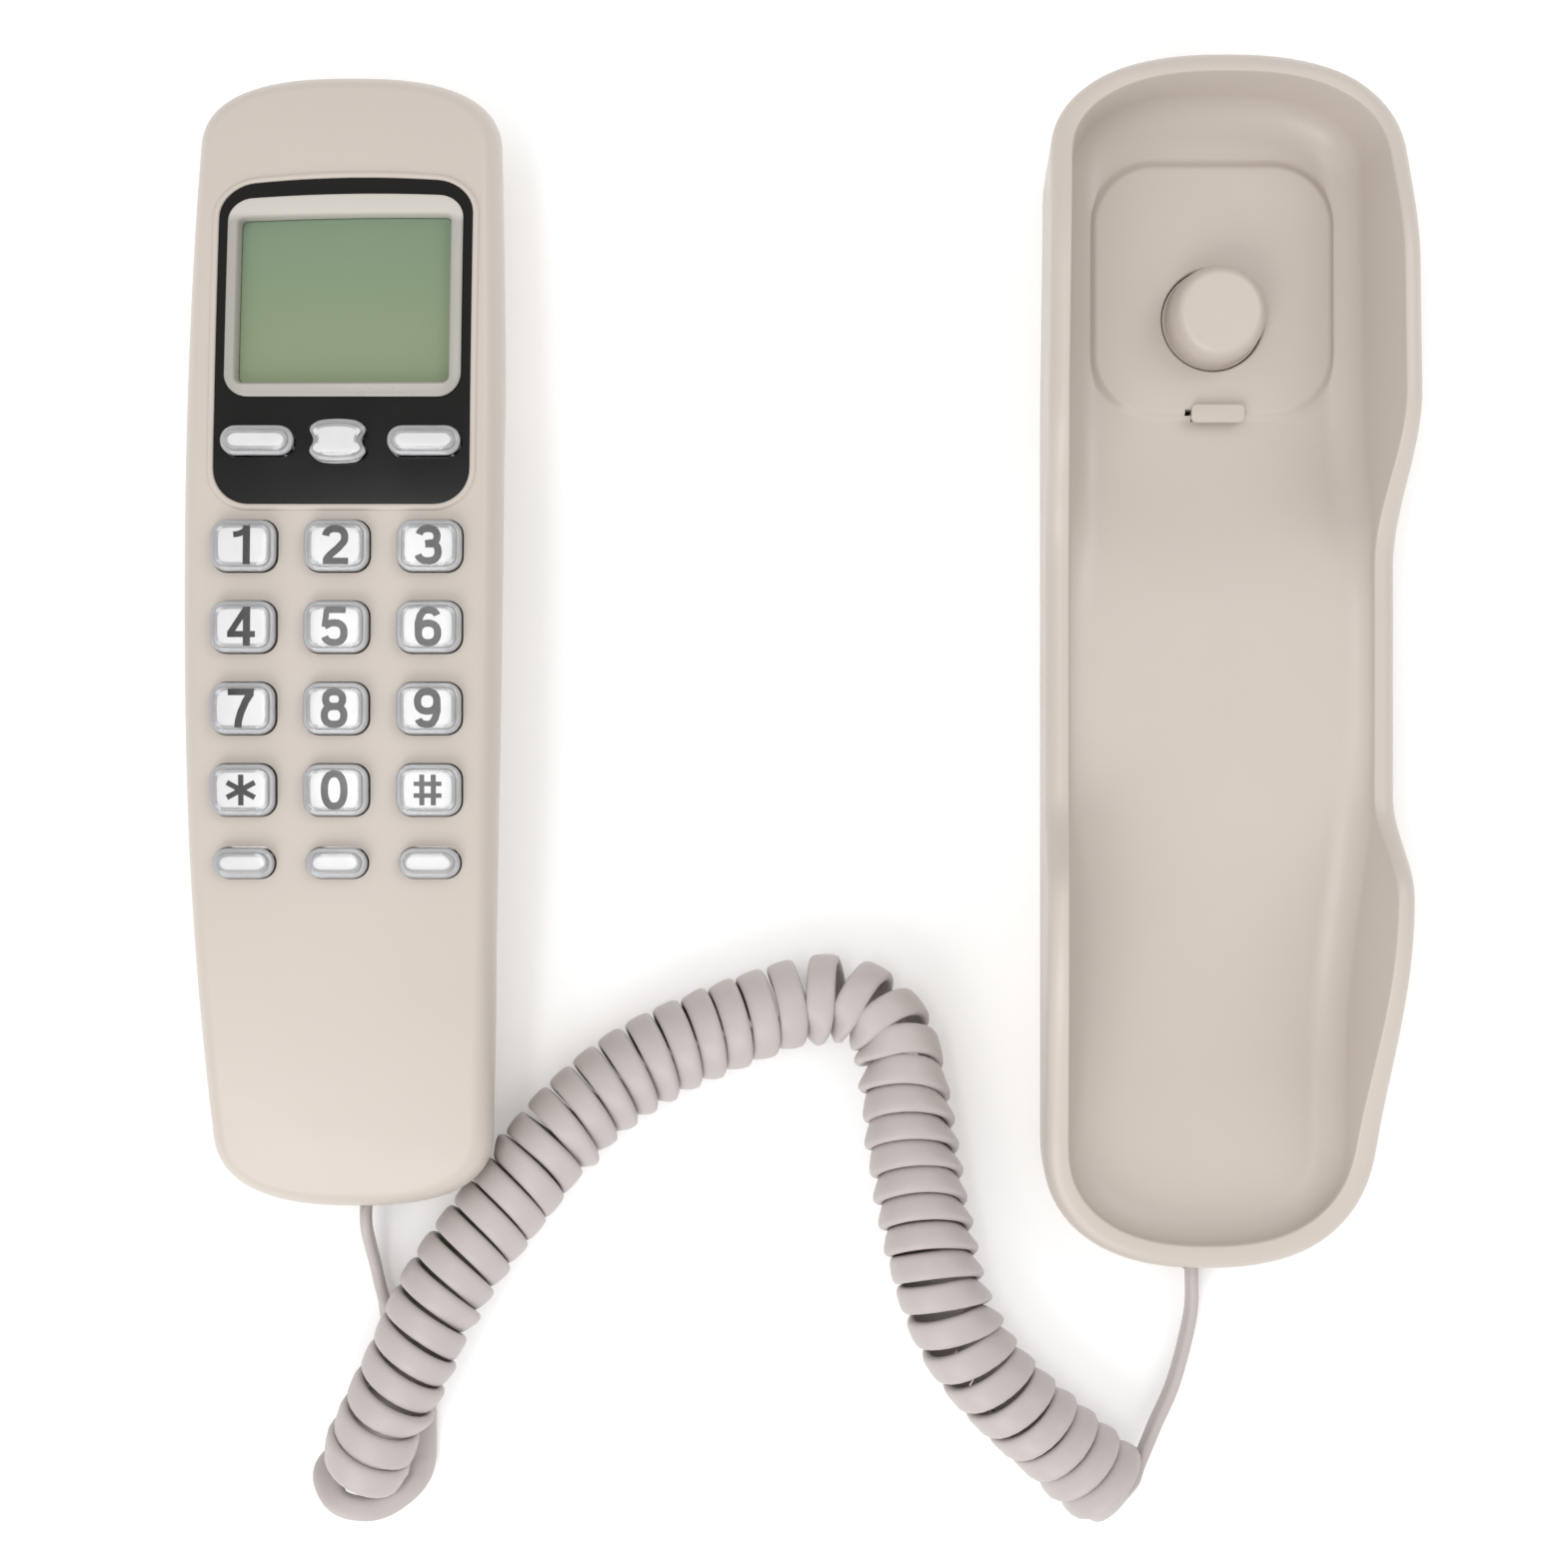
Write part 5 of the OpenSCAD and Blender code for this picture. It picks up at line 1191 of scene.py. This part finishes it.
class PHONE_OT_base_fittings(bpy.types.Operator):
    """Makes the hook button, the hanging tab, the back plate and the base's small parts"""
    bl_idname = "phone.base_fittings"
    bl_label = "Base fittings"

    def execute(self, context):
        b = Base()
        low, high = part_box("hook_button")
        flange_r = (high.x - low.x) / 2 / MM
        r, bottom, top = b.hook_d / 2, low.z / MM, b.pad_z + b.hook_rise
        profile = [(0, bottom), (flange_r, bottom), (flange_r, bottom + 1.4), (r + 0.32, bottom + 1.5),
                   (r + 0.32, b.pad_z - 0.75), (r + 0.25, b.pad_z - 0.62), (r - 0.02, b.pad_z - 0.5),
                   (r - 0.15, b.pad_z + 1)]
        profile += [(r - 2.4 + 2.25 * math.cos(a), top - 4 + 4 * math.sin(a))
                    for a in np.radians(np.linspace(0, 90, 16))]
        profile += [(r - 3.4, top), (0, top)]
        piece = link("hook_button_cap", turned("hook_button_cap", profile, (0, b.hook_y), 96))
        finish_piece(piece, finish("shell_plastic"), "hook_button", "shell", "hook_button", angle=40)

        refined("hook_tab", "shell_plastic", "shell", 0.35)
        refined("base_plate", "shell_plastic", "shell", 0.2)
        refined("line_jack", "black_plastic", None, 0.15)
        relief = refined("cord_grommet", "cord_vinyl", "cord", 0.25)
        # Its nose is drawn back towards the shell
        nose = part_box("cord_grommet")[0].y
        for v in relief.data.vertices:
            if v.co.y < nose + 0.7 * MM:
                v.co.y += 0.9 * MM
        refined("rubber_feet", "black_rubber", "rubber", 0.25)
        refined("base_screws", "bright_metal", "steel", 0.1)
        refined("hook_spring", "bright_metal", "steel", 0)
        refined("base_pcb", "board_green", None, 0.15)
        refined("hook_switch", "black_plastic", None, 0.15)
        refined("ringer", "black_plastic", None, 0.15)
        return {"FINISHED"}


class PHONE_OT_handset_shells(bpy.types.Operator):
    """Moulds the handset's bowed front and its hollow back"""
    bl_idname = "phone.handset_shells"
    bl_label = "Handset shells"

    def execute(self, context):
        h = Handset()
        self.front(h)
        self.bead(h)
        self.back(h)
        return {"FINISHED"}

    @staticmethod
    def front(h):
        rings = [h.edge(a) for a in (90, 80, 70, 60, 50, 40, 30, 20, 10, 4, 0)]
        rings += [h.edge(a, h.shell) for a in (0, 45, 90)]
        front = link("handset_face", skin("handset_face", rings))
        carve(front, [h.face_slab("pocket", h.panel_x, h.panel_y, h.panel_w, h.panel_len, h.panel_r,
                                  -1.35, 3)])
        carve(front, h.openings())
        finish_piece(front, finish("shell_plastic"), "handset", "shell", "handset_front", angle=30)

    @staticmethod
    def bead(h):
        """The fine raised line of the moulding round the panel."""
        section = [(0.0, -0.7), (0.0, 0.2), (0.14, 0.36), (0.36, 0.45), (0.62, 0.44), (0.85, 0.33),
                   (1.05, 0.12), (1.2, -0.3), (1.2, -0.7)]
        rings = [h.panel_ring(h.panel_y, h.panel_w + 2 * out, h.panel_len + 2 * out, h.panel_r + out, up)
                 for out, up in section]
        rim = link("panel_bead", tube("panel_bead", rings, True))
        finish_piece(rim, finish("shell_plastic"), "handset", "shell", angle=50)

    @staticmethod
    def back(h):
        # Inset, share of the height and lift of rings: the inside up to the seam, then the outside down
        inside = [(7.4, 0, 2.2), (5.2, 0, 3.8), (3.7, 0.4, 2.2), (2.45, 1, 0)]
        outside = [(0.25, 1, 0), (0.7, 0.72, 0), (1.9, 0.36, 0), (3, 0, 3), (4.2, 0, 1), (6.4, 0, 0)]
        rings = [h.back(*c) for c in (*inside, *spline(outside, 4).tolist())]
        back = link("handset_underside", skin("handset_underside", rings))
        ear_x, ear_y, dish_r = h.x, h.y + h.ear_y, 19
        carve(back, [cylinder("disc", ear_x, ear_y, dish_r, 2.0, 5)], "UNION")
        dish = [(0, -1), (dish_r, -1), (16.6, 0.0), (13.0, 2.4), (0, 2.4)]
        carve(back, [turned("dish", dish, (ear_x, ear_y), 96)])
        ear_holes = [(ear_x, ear_y, 0)] + [(ear_x + 6 * math.cos(a), ear_y + 6 * math.sin(a), 0)
                                           for a in np.radians(45 * np.arange(8))]
        mic_holes = [(h.x + x, h.y + h.mic_y, 0) for x in (-2, 0, 2)]
        end = h.y + h.bottom
        cuts = [copies("ear_holes", cylinder("pin", 0, 0, 0.9, 1.5, 7, 20), ear_holes),
                copies("mic_holes", cylinder("pin", 0, 0, 0.7, -1, 5, 20), mic_holes),
                block("socket", h.x - 5.4, end - 1, 2.95, h.x + 5.4, end + 7, 12.75)]
        head_r, shank_r, far = 3.1, 1.6, 25
        for y in h.screw_ys:
            low = float(h.under(y))
            seat = low + h.shell
            well = [(0, low - 1), (head_r, low - 1), (head_r, seat), (shank_r, seat), (shank_r, far),
                    (0, far)]
            cuts.append(turned("screw_well", well, (h.x, h.y + y), 48))
        carve(back, cuts)
        finish_piece(back, finish("shell_plastic"), "handset", "shell", "handset_back", angle=35)


class PHONE_OT_display(bpy.types.Operator):
    """Makes the glossy panel, the raised frame and the display"""
    bl_idname = "phone.display"
    bl_label = "Display"

    def execute(self, context):
        h = Handset()
        gap = 0.1
        panel = link("glossy_panel", h.face_slab("glossy_panel", h.panel_x, h.panel_y, h.panel_w - 2 * gap,
                                                 h.panel_len - 2 * gap, h.panel_r - gap, -1.2, 0))
        carve(panel, h.openings(in_panel=True))
        finish_piece(panel, finish("panel_gloss"), "handset", "black_gloss", "display_panel", angle=30)

        # Width, height, corner, height above the face and shift in y of each ring of the frame
        w, hh, wh = h.window_w, h.window_h, h.window_h + 0.7
        fw, fh, sunk, shift = w + 4.3, hh + 7.2, -1.95, -0.35
        spec = [(fw - 3.4, wh + 1.2, 1.4, 1.3, shift), (fw - 3.1, wh + 1.5, 1.5, 1.3, shift),
                (fw - 0.9, fh - 0.9, 3.4, 0.72, 0.3), (fw - 0.3, fh - 0.3, 3.8, 0.6, 0.3),
                (fw, fh, 4, 0.4, 0.3), (fw, fh, 4, 0.25, 0.3), (w + 2.4, hh + 2.4, 1.2, 0.25, 0),
                (w + 2.4, hh + 2.4, 1.2, sunk, 0), (w, wh, 1, sunk, shift), (w, wh, 1, -0.6, shift),
                (w + 0.25, wh + 0.3, 1.1, 0.5, shift), (w + 0.5, wh + 0.8, 1.2, 1.1, shift)]
        rings = [h.panel_ring(h.frame_y + dy, *ring) for *ring, dy in spec]
        rim = link("display_frame", tube("display_frame", rings, True))
        finish_piece(rim, frame_plastic_painted_shade(), "handset", "frame", "lcd_frame", angle=35)

        glass = link("display_pane", h.face_slab("display_pane", h.panel_x, h.frame_y + shift, w - 2 * gap,
                                                 wh - 2 * gap, 1 - gap, -2.2, -1.1))
        finish_piece(glass, display_material(), "handset", "lcd", "lcd_glass", angle=30)
        paint_node("lcd_module", "black_plastic")
        return {"FINISHED"}


class PHONE_OT_keys(bpy.types.Operator):
    """Makes the clear keys with their silver inserts and printed numbers"""
    bl_idname = "phone.keys"
    bl_label = "Keys"

    def execute(self, context):
        h = Handset()
        tree = key_cap_tree()
        looks = [finish(name) for name in ("clear_crystal", "insert_white", "ink")]
        clear, white, _ = looks
        below, shoulder, plate_skirt = 2.9, 0.75, 0.5
        for name, legend, x, y, w, hh, r in h.keys():
            slope = float(h.face(y + 1) - h.face(y - 1)) / 2
            face = float(h.face(y))
            pinch, bulge = h.pinch(name)

            def cap(material, bottom, inset, corner, skirt, rounding):
                """A cap of this key's form, drawn in all round by inset, with its underside at a height."""
                mesh = tree.run("cap", Width=(w - 2 * inset) * MM, Height=(hh - 2 * inset) * MM,
                                Corner=corner * MM, Skirt=skirt * MM, Shoulder=rounding * MM,
                                Slope=slope, Pinch=pinch, Bulge=bulge, Material=material)
                mesh.transform(Matrix.Translation((x * MM, y * MM, bottom * MM)))
                return mesh

            meshes = [cap(clear, face - below, 0, r, below + h.key_rise - shoulder, shoulder)]
            # A white plate flush with the cap's flat top, on a wider one deeper in the clear cap
            plate_at = face + h.key_rise + 0.02
            for inset, top, rounding in ((0.9, plate_at, 0.1), (0.25, plate_at - 0.8, 0.2)):
                bottom = top - plate_skirt - rounding
                meshes.append(cap(white, bottom, inset, max(0.6, r - inset), plate_skirt, rounding))
            if legend:
                letter = self.letter(legend, h.digit_h)
                letter.transform(Matrix.Translation((x * MM, y * MM, (plate_at + 0.02) * MM)))
                for v in letter.vertices:
                    v.co.z += slope * (v.co.y - y * MM)
                meshes.append(letter)
            piece = link(name + "_cap", h.placed(joined(name + "_cap", meshes, (0, 1, 1, 2))))
            for material in looks:
                piece.data.materials.append(material)
            finish_piece(piece, None, name, "crystal", name, angle=40)
        return {"FINISHED"}

    @staticmethod
    def letter(text, height):
        """One printed character as thin strokes, centred on the origin."""
        k = height / 7
        return joined("legend", [stroke(np.array(line) * (1.08 * k, k), weight * k, 0.004 * i)
                                 for i, (line, weight) in enumerate(glyph(text))])


class PHONE_OT_handset_fittings(bpy.types.Operator):
    """Makes the handset's plug, jack, screws, capsules, mats and board"""
    bl_idname = "phone.handset_fittings"
    bl_label = "Handset fittings"

    def execute(self, context):
        refined("handset_plug", "clear_crystal", "clear_plastic", 0.2)
        refined("handset_jack", "black_plastic", None, 0.15)
        refined("handset_screws", "bright_metal", "steel", 0.1)
        refined("ear_receiver", "black_plastic", None, 0.15)
        refined("microphone", "bright_metal", "steel", 0.1)
        for node, look in (("keypad_mat", "soft_silicone"), ("function_mat", "soft_silicone"),
                           ("handset_pcb", "board_green"), ("ear_gasket", "black_rubber"),
                           ("mic_boot", "black_rubber")):
            paint_node(node, look)
        return {"FINISHED"}


class PHONE_PT_panel(bpy.types.Panel):
    """Lists the steps that dress the phone"""
    bl_idname = "PHONE_PT_panel"
    bl_label = "Wall Phone"
    bl_space_type = "VIEW_3D"
    bl_region_type = "UI"
    bl_category = "Wall Phone"

    def draw(self, context):
        for operator in OPERATORS:
            self.layout.operator(operator.bl_idname)
        for group in (settings().colours, settings().base, settings().handset, settings().cord):
            box = self.layout.box()
            for name in names_in(group):
                box.prop(group, name)


OPERATORS = [PHONE_OT_stage, PHONE_OT_cord, PHONE_OT_base_shell, PHONE_OT_base_fittings,
             PHONE_OT_handset_shells, PHONE_OT_display, PHONE_OT_keys, PHONE_OT_handset_fittings]
CLASSES = [WallPhoneColours, WallPhoneBase, WallPhoneHandset, WallPhoneCord, WallPhoneSettings, *OPERATORS,
           PHONE_PT_panel]


def register():
    for cls in CLASSES:
        bpy.utils.register_class(cls)
    bpy.types.Scene.wall_phone = bpy.props.PointerProperty(type=WallPhoneSettings)


def unregister():
    del bpy.types.Scene.wall_phone
    for cls in reversed(CLASSES):
        bpy.utils.unregister_class(cls)


def main():
    register()
    for operator in OPERATORS:
        group, name = operator.bl_idname.split(".")
        getattr(getattr(bpy.ops, group), name)()


if __name__ == "__main__":
    main()
